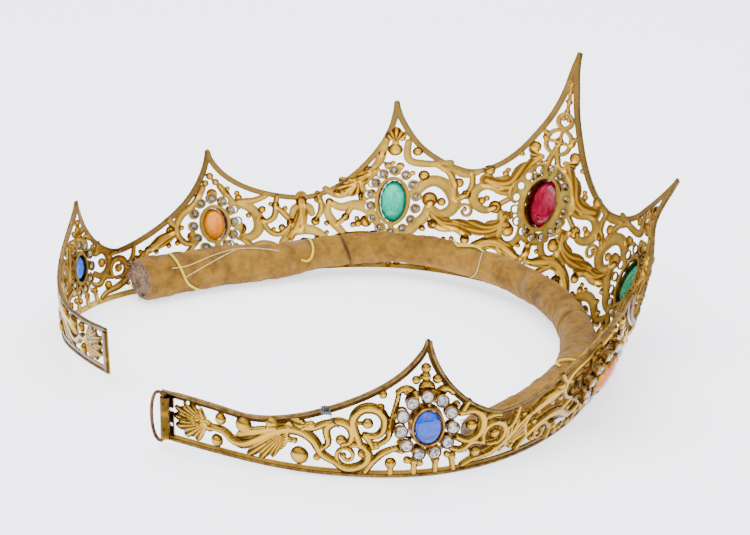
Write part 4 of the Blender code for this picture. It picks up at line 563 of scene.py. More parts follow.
class Sheet:
    """Fields over a grid of flat places: signed distance to the metal, and the relief on it.

    distance is negative in metal. dome and ridge are heights of the outer face, cup is the depth of
    the hollow behind, and shade is painted highlight and painted shade on the gilding, from 0 in a groove to
    1 on a crest; on the rails it holds their own browner tone.
    """

    def __init__(self, x, y):
        self.x, self.y = x, y
        self.distance = np.full(x.shape, 4.0)
        self.dome = np.zeros(x.shape)
        self.ridge = np.zeros(x.shape)
        self.cup = np.zeros(x.shape)
        self.shade = np.full(x.shape, 0.5)

    def window(self, low, high, room=3.0):
        """Slices of the grid that cover a box with some room."""
        i = np.searchsorted(self.x[0], (low[0] - room, high[0] + room))
        j = np.searchsorted(self.y[:, 0], (low[1] - room, high[1] + room))
        return slice(*j), slice(*i)

    def add_disc(self, x, y, radius):
        """A dome: height = 0.78 radius, 1.45 at most, * (1 - q^2)^0.5, where q is distance over radius."""
        part = self.window((x - radius, y - radius), (x + radius, y + radius))
        away = np.hypot(self.x[part] - x, self.y[part] - y)
        self.distance[part] = np.minimum(self.distance[part], away - radius)
        q = np.clip(away / radius, 0, 1)
        rounded = np.sqrt(1 - q * q)
        height = min(0.78 * radius, 1.45) * rounded
        self.dome[part] = np.maximum(self.dome[part], height)
        self.cup[part] = np.maximum(self.cup[part], height)
        # Painted highlight and shade: the dome's shade value is lightest at its top and falls to dark at its
        # rim.
        self.shade[part] = np.where(away < radius, rounded, self.shade[part])

    def add_ribbon(self, line, width, tall, groove=0.0, sunk=0.6):
        """A rounded ridge along a line: height = tall * (1 - q^2)^0.5, less two grooves at q = 0.62.

        sunk is the share of the height that shows as a hollow behind. A low ridge keeps the shade below.
        """
        width = np.broadcast_to(width, len(line))
        part = self.window(line.min(0) - width.max(), line.max(0) + width.max())
        if not self.x[part].size:
            return
        off, run = nearest(line, self.x[part], self.y[part])
        wide = np.interp(run, lengths_along(line), width)
        q = np.clip(off / wide, 0, 1)
        rounded, lines = np.sqrt(1 - q * q), np.exp(-((q - 0.62) / 0.13) ** 2)
        # Painted highlight on the crest and painted shade in the grooves and at the edges, through the shade
        # value.
        shade = rounded - 0.6 * lines * (groove > 0) if tall > 0.3 else self.shade[part]
        self.join_shape(part, off - wide, tall * rounded - groove * lines, shade, sunk)

    def tone(self, line, reach, shade):
        """A flat light or dark within reach of a line, where nothing is raised."""
        part = self.window(line.min(0) - reach, line.max(0) + reach)
        if self.x[part].size:
            off, _ = nearest(line, self.x[part], self.y[part])
            flat = (off < reach) & (self.ridge[part] < 0.2) & (self.dome[part] < 0.1)
            self.shade[part] = np.where(flat, shade, self.shade[part])

    def join_shape(self, part, edge, height, shade, sunk):
        """Join a raised shape to the fields: its edge, its height, its light and dark, its hollow behind."""
        height = np.where(edge < 0, height, 0)
        on_top = (edge < 0) & (height >= self.ridge[part])
        self.distance[part] = np.minimum(self.distance[part], edge)
        self.shade[part] = np.where(on_top, shade, self.shade[part])
        self.ridge[part] = np.maximum(self.ridge[part], height)
        self.cup[part] = np.maximum(self.cup[part], sunk * height)

    def add_leaf(self, line, reach, count):
        """An acanthus leaf about a rib: edge = reach * swell * (0.66 + 0.34 scallop), with flowing veins.

        scallop = |sin(pi * phase)|^0.6, and phase counts the lobes by run along the rib less 0.9 of the
        distance off it, so that lobes lean toward the tip; flow = cos of the distance off the rib.
        """
        part = self.window(line.min(0) - reach, line.max(0) + reach)
        if not self.x[part].size:
            return
        off, run = nearest(line, self.x[part], self.y[part])
        total = lengths_along(line)[-1]
        swell = np.sin(math.pi * np.clip(0.2 + 0.74 * run / total, 0, 1)) ** 0.8
        phase = (run - 0.9 * off) * 0.55 * count / total
        scallop = np.abs(np.sin(math.pi * phase)) ** 0.6
        edge = reach * swell * (0.66 + 0.34 * scallop)
        q = np.clip(off / edge, 0, 1)
        flow = 0.5 + 0.5 * np.cos(2 * math.pi * (off / reach * 1.9 - 0.05 * run))
        height = 0.95 * np.sqrt(1 - 0.8 * q * q) * (0.84 + 0.16 * flow)
        # Painted highlight and shade: light along the veins' crests, darker between them and toward the
        # leaf's edge.
        shade = 0.5 + 0.45 * flow - 0.3 * q ** 3
        self.join_shape(part, (off - edge) * 0.8, height, shade, 0.6)

    def add_fan(self, root, tips):
        """Lobes from one root: edge = length to the tip at that bearing, notched between tips.

        number counts the tips by bearing, notch = |cos(pi * number)|^0.5, veins = cos(4 pi * number),
        which gives two veins a lobe.
        """
        low, high = np.minimum(tips.min(0), root), np.maximum(tips.max(0), root)
        part = self.window(low, high)
        if not self.x[part].size:
            return
        ways = tips - root
        middle = math.atan2(*ways.mean(0)[::-1])
        bearing = (np.arctan2(ways[:, 1], ways[:, 0]) - middle + math.pi) % (2 * math.pi) - math.pi
        order = np.argsort(bearing)
        bearing, lengths = bearing[order], np.hypot(*ways[order].T)
        dx, dy = self.x[part] - root[0], self.y[part] - root[1]
        away = np.hypot(dx, dy)
        angle = (np.arctan2(dy, dx) - middle + math.pi) % (2 * math.pi) - math.pi
        number = np.interp(angle, bearing, np.arange(len(bearing)))
        over = np.clip(np.maximum(bearing[0] - angle, angle - bearing[-1]), 0, None)
        notch = np.abs(np.cos(math.pi * number)) ** 0.5
        fade = np.clip(1 - (over / 0.28) ** 2, 0.1, 1)
        edge = np.interp(angle, bearing, lengths) * (0.8 + 0.2 * notch) * fade
        edge = np.maximum(edge, 1.1)
        q = np.clip(away / edge, 0, 1)
        veins = 0.5 + 0.5 * np.cos(4 * math.pi * number)
        deep = np.clip(away / 2.5, 0, 1)
        height = (0.62 + 0.3 * veins * deep) * np.sqrt(1 - q ** 4) + 0.35 * (1 - deep)
        # Painted highlight and shade: light on the veins, darker between them and toward the lobes' ends.
        shade = 0.25 + 0.8 * veins - 0.3 * q ** 4
        self.join_shape(part, (away - edge) * 0.9, height, shade, 0.8)

    def add_plate(self, x, y, half_wide, half_tall, halo):
        """The oval ring under a setting and a pierced disc under each small stone; the relief sinks there.

        rim is the oval's radius at a bearing; the ring ends 1.15 past it, a disc is 1.75 in radius.
        """
        part = self.window((x - half_wide - 8, y - half_tall - 8), (x + half_wide + 8, y + half_tall + 8), 0)
        if not self.x[part].size:
            return
        dx, dy = self.x[part] - x, self.y[part] - y
        angle = np.arctan2(dy / half_tall, dx / half_wide)
        away = np.hypot(dx, dy)
        rim = np.hypot(half_wide * np.cos(angle), half_tall * np.sin(angle))
        to_stone = np.full(away.shape, 9.0)
        for stone_x, stone_y in halo:
            to_stone = np.minimum(to_stone, np.hypot(dx - stone_x, dy - stone_y))
        distance = np.minimum(self.distance[part], away - rim - 1.15)
        distance = np.minimum(distance, np.maximum(to_stone - 1.75, away - rim - 5.2))
        distance = np.maximum(distance, 1.2 - to_stone)
        self.distance[part] = np.maximum(distance, rim - 0.1 - away)
        keep = np.clip((away - rim - 5.2) / 0.8, 0, 1)
        for field in (self.dome, self.ridge, self.cup):
            field[part] *= keep
        lip = 0.3 * np.exp(-((away - rim - 1.1) / 0.3) ** 2)
        self.ridge[part] = np.maximum(self.ridge[part], lip)


def triangle_loops(shapes):
    """Outline loops of the union of flat shapes."""
    points, faces = [], []
    for shape in shapes:
        if flat_area(shape) < 0:
            shape = shape[::-1]
        faces.append(list(range(len(points), len(points) + len(shape))))
        points += [tuple(p) for p in shape]
    spots, _, triangles, _, _, origins = delaunay_2d_cdt(points, [], faces, 0, 1e-4)
    spots = np.array([tuple(p) for p in spots])
    ahead = {}
    edges = {pair for tri, origin in zip(triangles, origins) if origin
             for pair in zip(tri, (*tri[1:], tri[0]))}
    for a, b in sorted(edges):
        if (b, a) not in edges:
            ahead.setdefault(a, []).append(b)
    loops = []
    while ahead:
        start = here = next(iter(ahead))
        loop = []
        while True:
            loop.append(here)
            following = ahead[here].pop()
            if not ahead[here]:
                del ahead[here]
            here = following
            if here == start:
                break
        loops.append(spots[loop])
    return loops


def flat_area(loop):
    """Area inside a loop, negative where it runs clockwise: half the sum of its points' cross products."""
    ahead = np.roll(loop, -1, axis=0)
    return 0.5 * np.sum(loop[:, 0] * ahead[:, 1] - ahead[:, 0] * loop[:, 1])


def strip(line, half_width):
    """Triangles that cover a line with the given half widths."""
    run = np.gradient(line, axis=0)
    run /= np.linalg.norm(run, axis=1)[:, None]
    side = np.stack([-run[:, 1], run[:, 0]], 1) * np.broadcast_to(half_width, len(line))[:, None]
    left, right = line + side, line - side
    pieces = []
    for k in range(len(line) - 1):
        pieces += [np.array([left[k], right[k], right[k + 1]]),
                   np.array([left[k], right[k + 1], left[k + 1]])]
    return [piece for piece in pieces if abs(flat_area(piece)) > 0.004]


def ring_points(x, y, half_wide, half_tall, sides):
    """Points of an oval: x + a cos u, y + b sin u."""
    turn = np.arange(sides) * 2 * math.pi / sides
    return np.column_stack([x + half_wide * np.cos(turn), y + half_tall * np.sin(turn)])


def dense(loop, step=0.5):
    """The loop with points every step along it."""
    closed = np.vstack([loop, loop[:1]])
    run = lengths_along(closed)
    return at_runs(closed, run, np.linspace(0, run[-1], max(4, int(run[-1] / step)), endpoint=False))


def inside(spot, loop):
    """True if a spot is inside a loop, by its winding."""
    ahead = np.roll(loop, -1, axis=0)
    a, b = loop - spot, ahead - spot
    turn = np.arctan2(a[:, 0] * b[:, 1] - a[:, 1] * b[:, 0], (a * b).sum(1))
    return abs(turn.sum()) > math.pi


def joined_cells(metal, start):
    """The cells of metal that touch the start or one another from it on, grown a cell at a time."""
    while True:
        grown = start.copy()
        grown[1:] |= start[:-1]
        grown[:-1] |= start[1:]
        grown[:, 1:] |= start[:, :-1]
        grown[:, :-1] |= start[:, 1:]
        grown &= metal
        if (grown == start).all():
            return start
        start = grown


def tie_between(own, others):
    """A short line from the one of these places that is nearest to the others, a little into both."""
    apart = np.linalg.norm(own[:, None] - others[None], axis=2)
    k, j = np.unravel_index(np.argmin(apart), apart.shape)
    run = others[j] - own[k]
    run /= max(np.hypot(*run), 1e-6)
    return np.array([own[k] - run * 0.8, others[j] + run * 0.6])


class Drawing:
    """Everything on the sheet, as lines and shapes on both halves.

    discs are (x, y, radius), scrolls (line, half widths), leaves (rib, reach, lobes), fans (root, tips),
    plates (x, y, half width, half height), and halo holds the small stones' places by a plate's x.
    """

    def __init__(self):
        self.discs = [(side * (at - x), y, r) for side, at, (_, x, y, r) in both_halves(BOSSES)]
        self.scrolls = []
        for side, at, (number, widths, points) in both_halves(SCROLLS):
            line = through(points, 5 * (len(points) - 1) + 1)
            line[:, 0] = side * (at - line[:, 0])
            wide = np.interp(np.linspace(0, 1, len(line)), (0, 0.5, 1), widths) * BROADER[number]
            self.scrolls.append((line, wide))
        self.leaves = []
        for side, at, (_, reach, count, points) in both_halves(LEAVES):
            line = through(points, 21)
            line[:, 0] = side * (at - line[:, 0])
            self.leaves.append((line, LEAF_SHARE * reach, count))
        self.fans = []
        for side, at, (_, x, y, tips) in both_halves(FANS):
            tips = np.array(tips)
            tips[:, 0] = side * (at - tips[:, 0])
            self.fans.append((np.array((side * (at - x), y)), tips))
        self.rails = [spread(line, 0.8) for line in top_edge()]
        self.plates, self.halo = [], {}
        for _, at, _, _, _, x, y, wide, tall, count in PANELS:
            for side in ((-1, 1) if at else (1,)):
                self.plates.append((side * (at - x), y, wide, tall))
                self.halo[side * (at - x)] = halo_places(wide, tall, count)
        self.ties = self.find_ties()
        self.fill_gaps()
        self.tie_loose()

    def find_ties(self):
        """Short ties from each loose part of the drawing to its nearest neighbour."""
        shapes = []
        for line in self.rails:
            shapes += strip(spread(line, 3.0), RAIL_HALF_WIDTH)
        base = np.column_stack([np.linspace(-HALF_LENGTH, HALF_LENGTH, 3),
                                np.full(3, BOTTOM_RAIL_WIDTH / 2)])
        shapes += strip(base, BOTTOM_RAIL_WIDTH / 2)
        shapes += [ring_points(x, y, r, r, 8) for x, y, r in self.discs]
        for line, width in self.scrolls:
            shapes += strip(line[::2], width[::2])
        for line, reach, _ in self.leaves:
            shapes += strip(line[::2], 0.45 * reach)
        for root, tips in self.fans:
            for tip in tips:
                shapes += strip(root + (tip - root) * np.linspace(0, 1, 3)[:, None], 0.7)
        for x, y, wide, tall in self.plates:
            shapes.append(ring_points(x, y, wide + PLATE_REACH, tall + PLATE_REACH, 18))
        ties = []
        for _ in range(8):
            loops = triangle_loops(shapes)
            loose = sorted((loop for loop in loops if flat_area(loop) > 0), key=flat_area)
            if len(loose) == 1:
                break
            spots = [dense(loop) for loop in loops]
            for part in loose[:-1]:
                others = np.vstack([s for s, loop in zip(spots, loops)
                                    if loop is not part and not inside(loop[0], part)])
                ties.append(tie_between(dense(part), others))
                shapes += strip(ties[-1], 0.5)
        return ties

    def fill_gaps(self):
        """Small curls and beads in the gaps that the drawing leaves, largest gap first, as on the old work.

        A curl is a spiral from the nearest metal: its radius shrinks from the gap's to a third of it,
        where it ends in a bead. A smaller gap has a bead on the nearest metal.
        """
        chance = np.random.default_rng(CURL_SEED)
        coarse = self.sheet(-HALF_LENGTH, 1.5, 0.5)
        x, y = coarse.x, coarse.y
        top = np.interp(x[0], *np.vstack(self.rails).T)
        open_to_fill = (y > 2.4) & (y < top[None] - 1.6) & (x > FILL_FROM) & (x < 0.4)
        for x0, y0, wide, tall in self.plates:
            open_to_fill &= ((x - x0) / (wide + 5.6)) ** 2 + ((y - y0) / (tall + 5.6)) ** 2 > 1
        for _ in range(GAPS_FILLED):
            room = np.where(open_to_fill, coarse.distance, -1)
            j, i = np.unravel_index(np.argmax(room), room.shape)
            size = room[j, i]
            if size < SMALLEST_GAP:
                break
            here = np.array((x[j, i], y[j, i]))
            part = coarse.window(here, here, min(size, 4.0) + 2.5)
            away = np.hypot(x[part] - here[0], y[part] - here[1])
            away = np.where(coarse.distance[part] < METAL, away, 99)
            m, n = np.unravel_index(np.argmin(away), away.shape)
            metal = np.array((x[part][m, n], y[part][m, n]))
            size = min(size, float(away[m, n]), 3.6)
            if size > CURL_GAP:
                start = math.atan2(*(metal - here)[::-1])
                t = np.linspace(0, 1, 22)
                turn = start + chance.choice((-1, 1)) * t * 2 * math.pi * 1.15
                reach = (float(away[m, n]) + 0.3) * (1 - t) + 0.36 * size * t
                line = here + np.column_stack([np.cos(turn), np.sin(turn)]) * reach[:, None]
                width = 0.62 - 0.12 * t
                coarse.add_ribbon(line, width, 0.4)
                self.scrolls += [(line, width), (line * (-1, 1), width)]
                (bead_x, bead_y), radius = line[-1], 0.36 * size
            else:
                radius = max(0.8, min(1.35, 0.62 * size))
                bead_x, bead_y = metal + (here - metal) / np.linalg.norm(here - metal) * radius * 0.7
                middle = np.hypot(x[part] - here[0], y[part] - here[1]) < 0.7
                coarse.distance[part] = np.where(middle, np.minimum(coarse.distance[part], 1.2),
                                                 coarse.distance[part])
            coarse.add_disc(bead_x, bead_y, radius)
            self.discs += [(bead_x, bead_y, radius), (-bead_x, bead_y, radius)]

    def tie_loose(self):
        """A short tie from each part that no metal joins to the bottom rail yet."""
        coarse = self.sheet(-HALF_LENGTH, 1.5, 0.4)
        for _ in range(30):
            metal = coarse.distance < METAL
            joined = joined_cells(metal, metal & (coarse.y < BOTTOM_RAIL_WIDTH / 2))
            loose = np.argwhere(metal & ~joined)
            if not len(loose):
                break
            seed = np.zeros_like(metal)
            seed[tuple(loose[0])] = True
            part = joined_cells(metal, seed)
            own = np.column_stack([coarse.x[part], coarse.y[part]])
            near = joined & (np.hypot(coarse.x - own[0, 0], coarse.y - own[0, 1]) < 24)
            tie = tie_between(own, np.column_stack([coarse.x[near], coarse.y[near]]))
            coarse.add_ribbon(tie, 0.55, 0.2)
            self.ties += [tie, tie * (-1, 1)]

    def sheet(self, low, high, spacing=GRID):
        """The fields on a grid between two distances along the band."""
        x, y = np.meshgrid(np.arange(low - 1, high + 1, spacing), np.arange(-1.0, 90.0, spacing))
        top = np.interp(x[0], *np.vstack(self.rails).T)
        y = y[:np.searchsorted(y[:, 0], top.max() + 3)]
        x = x[:len(y)]
        made = Sheet(x, y)
        for x0, y0, radius in self.discs:
            if low - 4 < x0 < high + 4:
                made.add_disc(x0, y0, radius)
        for line, width in self.scrolls:
            if line[:, 0].max() > low - 4 and line[:, 0].min() < high + 4:
                wide = float(np.max(width))
                made.add_ribbon(line, width, 0.4 + 0.36 * min(wide, 1.8),
                                groove=0.2 if wide > 0.9 else 0.0, sunk=0.08 if wide > 1.35 else 0.45)
        for line, reach, count in self.leaves:
            made.add_leaf(line, reach, count)
        for root, tips in self.fans:
            made.add_fan(root, tips)
        for line in self.rails:
            if line[:, 0].max() > low - 4 and line[:, 0].min() < high + 4:
                tips = np.clip(np.minimum(np.arange(len(line)), np.arange(len(line))[::-1]) / 6, 0, 1)
                made.add_ribbon(line, RAIL_HALF_WIDTH * (0.6 + 0.4 * tips), 0.12, sunk=0.0)
                made.tone(line, RAIL_HALF_WIDTH, 0.12)
        for tie in self.ties:
            if low - 4 < tie[0, 0] < high + 4:
                made.add_ribbon(tie, 0.5, 0.2)
        base = np.array([(-HALF_LENGTH, BOTTOM_RAIL_WIDTH / 2), (HALF_LENGTH, BOTTOM_RAIL_WIDTH / 2)])
        made.add_ribbon(base, BOTTOM_RAIL_WIDTH / 2, 0.14, sunk=0.0)
        for x0, y0, wide, tall in self.plates:
            if low - 16 < x0 < high + 16:
                made.add_plate(x0, y0, wide, tall, self.halo[x0])
        half_strip, strip_middle, strip_half_tall = END_STRIP
        for side in (-1, 1):
            end = np.maximum(np.abs(made.x - side * (HALF_LENGTH - half_strip)) - half_strip,
                             np.abs(made.y - strip_middle) - strip_half_tall)
            made.distance = np.minimum(made.distance, end)
            for depth, high_at, half_run, half_tall in END_HOLES:
                gap = np.hypot((made.x - side * (HALF_LENGTH - depth)) / half_run,
                               (made.y - high_at) / half_tall)
                made.distance = np.maximum(made.distance, (1 - gap) * min(half_run, half_tall))
        made.distance = np.maximum(made.distance, np.abs(made.x) - HALF_LENGTH)
        made.distance = np.maximum(made.distance, np.maximum(low - made.x, made.x - high))
        return made


# Corners 0 to 3 run round a square from its low corner; 4 to 7 are the crossings on its sides,
# from the low side round.  The rows are the polygons of each of the sixteen ways to cut a square.
CUTS = {
    1: ((0, 4, 7),), 2: ((1, 5, 4),), 3: ((0, 1, 5, 7),), 4: ((2, 6, 5),),
    5: ((0, 4, 7), (2, 6, 5)), 6: ((1, 2, 6, 4),), 7: ((0, 1, 2, 6, 7),), 8: ((3, 7, 6),),
    9: ((0, 4, 6, 3),), 10: ((1, 5, 4), (3, 7, 6)), 11: ((0, 1, 5, 6, 3),),
    12: ((2, 3, 7, 5),), 13: ((0, 4, 5, 2, 3),), 14: ((1, 2, 3, 7, 4),), 15: ((0, 1, 2, 3),),
}


def cut_grid(x, y, distance, columns):
    """Faces of the part of a grid where distance is negative, with cut edges placed by linear share.

    Returns flat points, the columns' values at them, triangles, quads and the rim's directed edges.
    """
    rows, wide = x.shape
    corner = np.arange(rows * wide).reshape(rows, wide)
    low_side = rows * wide + np.arange(rows * (wide - 1)).reshape(rows, wide - 1)
    left_side = low_side.size + rows * wide + np.arange((rows - 1) * wide).reshape(rows - 1, wide)

    def between(a, b):
        """Share of the way from a to b at which the distance is nil, kept a little off the corners."""
        share = a / np.where(a == b, 1, a - b)
        return np.clip(share, 0.06, 0.94)

    t_low = between(distance[:, :-1], distance[:, 1:])
    t_left = between(distance[:-1], distance[1:])

    def stacked(field):
        """A field's values at the corners and at the crossings on the low and left sides."""
        return np.concatenate([field.ravel(),
                               (field[:, :-1] * (1 - t_low) + field[:, 1:] * t_low).ravel(),
                               (field[:-1] * (1 - t_left) + field[1:] * t_left).ravel()])

    fields = [stacked(f) for f in (x, y, *columns)]
    local = np.stack([corner[:-1, :-1], corner[:-1, 1:], corner[1:, 1:], corner[1:, :-1],
                      low_side[:-1], left_side[:, 1:], low_side[1:], left_side[:, :-1]], -1)
    solid = distance < 0
    code = (solid[:-1, :-1] * 1 + solid[:-1, 1:] * 2 + solid[1:, 1:] * 4 + solid[1:, :-1] * 8)
    triangles, quads, rim = [], [], []
    for number, polygons in CUTS.items():
        cells = local[code == number]
        if not len(cells):
            continue
        for polygon in polygons:
            if len(polygon) == 4:
                quads.append(cells[:, polygon])
            else:
                for k in range(1, len(polygon) - 1):
                    triangles.append(cells[:, (polygon[0], polygon[k], polygon[k + 1])])
            for a, b in zip(polygon, (*polygon[1:], polygon[0])):
                if a > 3 and b > 3:
                    rim.append(cells[:, (a, b)])
    triangles, quads, rim = np.vstack(triangles), np.vstack(quads), np.vstack(rim)
    used, place = np.unique(np.concatenate([triangles.ravel(), quads.ravel()]), return_inverse=True)
    triangles = place[:triangles.size].reshape(-1, 3)
    quads = place[-quads.size:].reshape(-1, 4)
    rim = np.searchsorted(used, rim)
    return [f[used] for f in fields], triangles, quads, rim


def stamped_piece(drawing, name, low, high, material):
    """Outer face at the relief, inner face behind it hollowed under domes, and a wall round every gap.

    Outer point = sheet + normal * relief, eased near a gap; inner point = sheet + normal * (hollow - wall).
    """
    sheet = drawing.sheet(low, high)
    height = np.maximum(sheet.dome, sheet.ridge)
    (x, y, top, cup, distance, shade), triangles, quads, rim = cut_grid(
        sheet.x, sheet.y, sheet.distance, (height, sheet.cup, sheet.distance, sheet.shade))
    edge = np.exp(np.clip(distance, -3, 0) / 0.45)
    outer = on_band(x, y, top * (1 - 0.25 * edge))
    inner = on_band(x, y, cup * 0.92 - WALL)
    count = len(x)
    walls = np.column_stack([rim[:, 1], rim[:, 0], rim[:, 0] + count, rim[:, 1] + count])
    back = [triangles[:, ::-1] + count, quads[:, ::-1] + count]
    faces = [np.vstack([triangles, back[0]]), np.vstack([quads, back[1], walls])]
    faces = outward(np.vstack([outer, inner]), faces)
    return new_mesh(name, np.vstack([outer, inner]), faces, material, smooth=46.0,
                    slot="gilt_brass", replaced=("band",),
                    inner=np.r_[np.zeros(count), np.ones(count)],
                    shade=np.r_[shade, shade], cup=np.r_[np.zeros(count), cup], edge=np.r_[edge, edge])


# Materials

def linear(code):
    """Linear colour with alpha from an sRGB hex value."""
    parts = [int(code[k:k + 2], 16) / 255 for k in (1, 3, 5)]
    return [c / 12.92 if c <= 0.04045 else ((c + 0.055) / 1.055) ** 2.4 for c in parts] + [1.0]


def node(tree, kind, inputs=None, output=None, stops=None, **settings):
    """Add a node with its properties; inputs are values or the outputs that feed them; gives its output."""
    made = tree.nodes.new("ShaderNode" + kind)
    for key, value in settings.items():
        setattr(made, key, value)
    for key, value in (inputs or {}).items():
        if isinstance(value, bpy.types.NodeSocket):
            tree.links.new(value, made.inputs[key])
        else:
            made.inputs[key].default_value = value
    if stops:
        elements = made.color_ramp.elements
        while len(elements) < len(stops):
            elements.new(0.5)
        for element, (position, code) in zip(elements, stops):
            element.position = position
            element.color = linear(code)
    return made.outputs[output] if output else next(out for out in made.outputs if out.enabled)


def new_material(name, **inputs):
    """A material with a Principled shader; inputs are set on the shader's own sockets."""
    made = bpy.data.materials.new(name)
    made.use_nodes = True
    shader = made.node_tree.nodes["Principled BSDF"]
    for key, value in inputs.items():
        shader.inputs[key.replace("_", " ")].default_value = value
    return made, made.node_tree, shader


def join(tree, shader, **sources):
    """Feed the shader's inputs."""
    for key, source in sources.items():
        tree.links.new(source, shader.inputs[key.replace("_", " ")])


def stamped_gilt_brass():
    """Stamped brass with worn gilding: lighter on the crests and brown in the grooves, partly wear and
    tarnish and partly painted highlight and painted shade; duller mustard behind, with painted shade along
    the cut edges, and the hollows of the domes an amber bowl painted dark at the rim and bright in the middle
    as painted shade and light."""
    made, tree, shader = new_material("stamped_gilt_brass", Metallic=1.0)
    place = node(tree, "TexCoord", output="Object")
    patches = node(tree, "TexNoise", {"Vector": place, "Scale": 1000 / 9.0, "Detail": 3.0, "Roughness": 0.6})
    grime = node(tree, "TexNoise", {"Vector": place, "Scale": 1000 / 1.8, "Detail": 4.0, "Roughness": 0.6})
    grit = node(tree, "TexNoise", {"Vector": place, "Scale": 1000 / 0.5, "Detail": 4.0, "Roughness": 0.6})
    shade = node(tree, "Attribute", output="Fac", attribute_name="shade")
    hollow = node(tree, "Attribute", output="Fac", attribute_name="cup")
    edge = node(tree, "Attribute", output="Fac", attribute_name="edge")
    inner = node(tree, "Attribute", output="Fac", attribute_name="inner")
    # The front's colour: the shade value, a painted highlight on crests and painted shade in grooves, plus
    # noise for worn and tarnished patches.
    wear_and_painted_shade = node(tree, "Math", {0: grime, 1: 0.3, 2: -0.4}, operation='MULTIPLY_ADD')
    wear_and_painted_shade = node(tree, "Math", {0: patches, 1: 0.5, 2: wear_and_painted_shade}, operation='MULTIPLY_ADD')
    wear_and_painted_shade = node(tree, "Math", {0: shade, 1: wear_and_painted_shade}, operation='ADD')
    front = node(tree, "ValToRGB", {0: wear_and_painted_shade},
                 stops=((0.1, "#281A08"), (0.38, "#563E12"), (0.66, "#88661C"), (0.98, "#B89032")))
    flat = node(tree, "ValToRGB", {0: patches},
                stops=((0.35, "#AA8636"), (0.55, "#C4A044"), (0.7, "#DAB858")))
    # Browner where the shade value is low: the rails' own browner tone, and painted shade along the ribbons'
    # edges behind.
    browner = node(tree, "MapRange", {0: shade, 1: 0.35, 2: 0.15, 3: 0.0, 4: 0.75})
    flat = node(tree, "Mix", {0: browner, 6: flat, 7: linear("#86683A")}, data_type='RGBA')
    # Painted shade and light in the domes' hollows behind: dark at the rim, bright amber in the middle.
    painted_bowl_shade = node(tree, "ValToRGB", {0: shade},
                stops=((0.2, "#321C08"), (0.5, "#6E4A10"), (0.75, "#AC7C20"), (0.95, "#E2B044")))
    cup = node(tree, "Math", {0: hollow, 1: 2.2}, operation='MULTIPLY', use_clamp=True)
    behind = node(tree, "Mix", {0: cup, 6: flat, 7: painted_bowl_shade}, data_type='RGBA')
    # Painted shade: the inner face darkened toward the cut edges of every gap.
    rim = node(tree, "Math", {0: edge, 1: 0.65}, operation='MULTIPLY', use_clamp=True)
    behind = node(tree, "Mix", {0: rim, 6: behind, 7: linear("#543A18")}, data_type='RGBA')
    colour = node(tree, "Mix", {0: inner, 6: front, 7: behind}, data_type='RGBA')
    rough = node(tree, "Math", {0: grime, 1: 0.25, 2: 0.12}, operation='MULTIPLY_ADD')
    rough = node(tree, "Math", {0: inner, 1: 0.22, 2: rough}, operation='MULTIPLY_ADD', use_clamp=True)
    pitted = node(tree, "Bump", {"Height": grit, "Strength": 0.5, "Distance": 0.05 * MM})
    join(tree, shader, Base_Color=colour, Roughness=rough, Normal=pitted)
    return made


def plain_gilt(name, light, dark, roughness):
    """Drawn or cast brass, gilt and worn, darker in patches."""
    made, tree, shader = new_material(name, Metallic=1.0)
    place = node(tree, "TexCoord", output="Object")
    grime = node(tree, "TexNoise", {"Vector": place, "Scale": 1000 / 2.0, "Detail": 4.0, "Roughness": 0.6})
    grit = node(tree, "TexNoise", {"Vector": place, "Scale": 1000 / 0.4, "Detail": 3.0, "Roughness": 0.6})
    colour = node(tree, "ValToRGB", {0: grime}, stops=((0.38, dark), (0.62, light)))
    rough = node(tree, "Math", {0: grime, 1: 0.2, 2: roughness - 0.1}, operation='MULTIPLY_ADD')
    pitted = node(tree, "Bump", {"Height": grit, "Strength": 0.5, "Distance": 0.03 * MM})
    join(tree, shader, Base_Color=colour, Roughness=rough, Normal=pitted)
    return made


def cut_glass(name, deep, light, transmission, shine=0.3):
    """Cut and polished lead glass, coloured in the melt: each facet a random depth of that colour, as painted
    glints and dark facets.
    """
    made, tree, shader = new_material(name, Roughness=0.05, IOR=1.55, Transmission_Weight=transmission,
                                      Specular_IOR_Level=shine)
    facet_glint = node(tree, "Attribute", output="Fac", attribute_name="facet_glint")
    # Painted reflection: each facet's random share picks a deeper or lighter colour, standing in for glints
    # and dark facets.
    colour = node(tree, "ValToRGB", {0: facet_glint}, stops=((0.0, deep), (1.0, light)))
    join(tree, shader, Base_Color=colour)
    return made


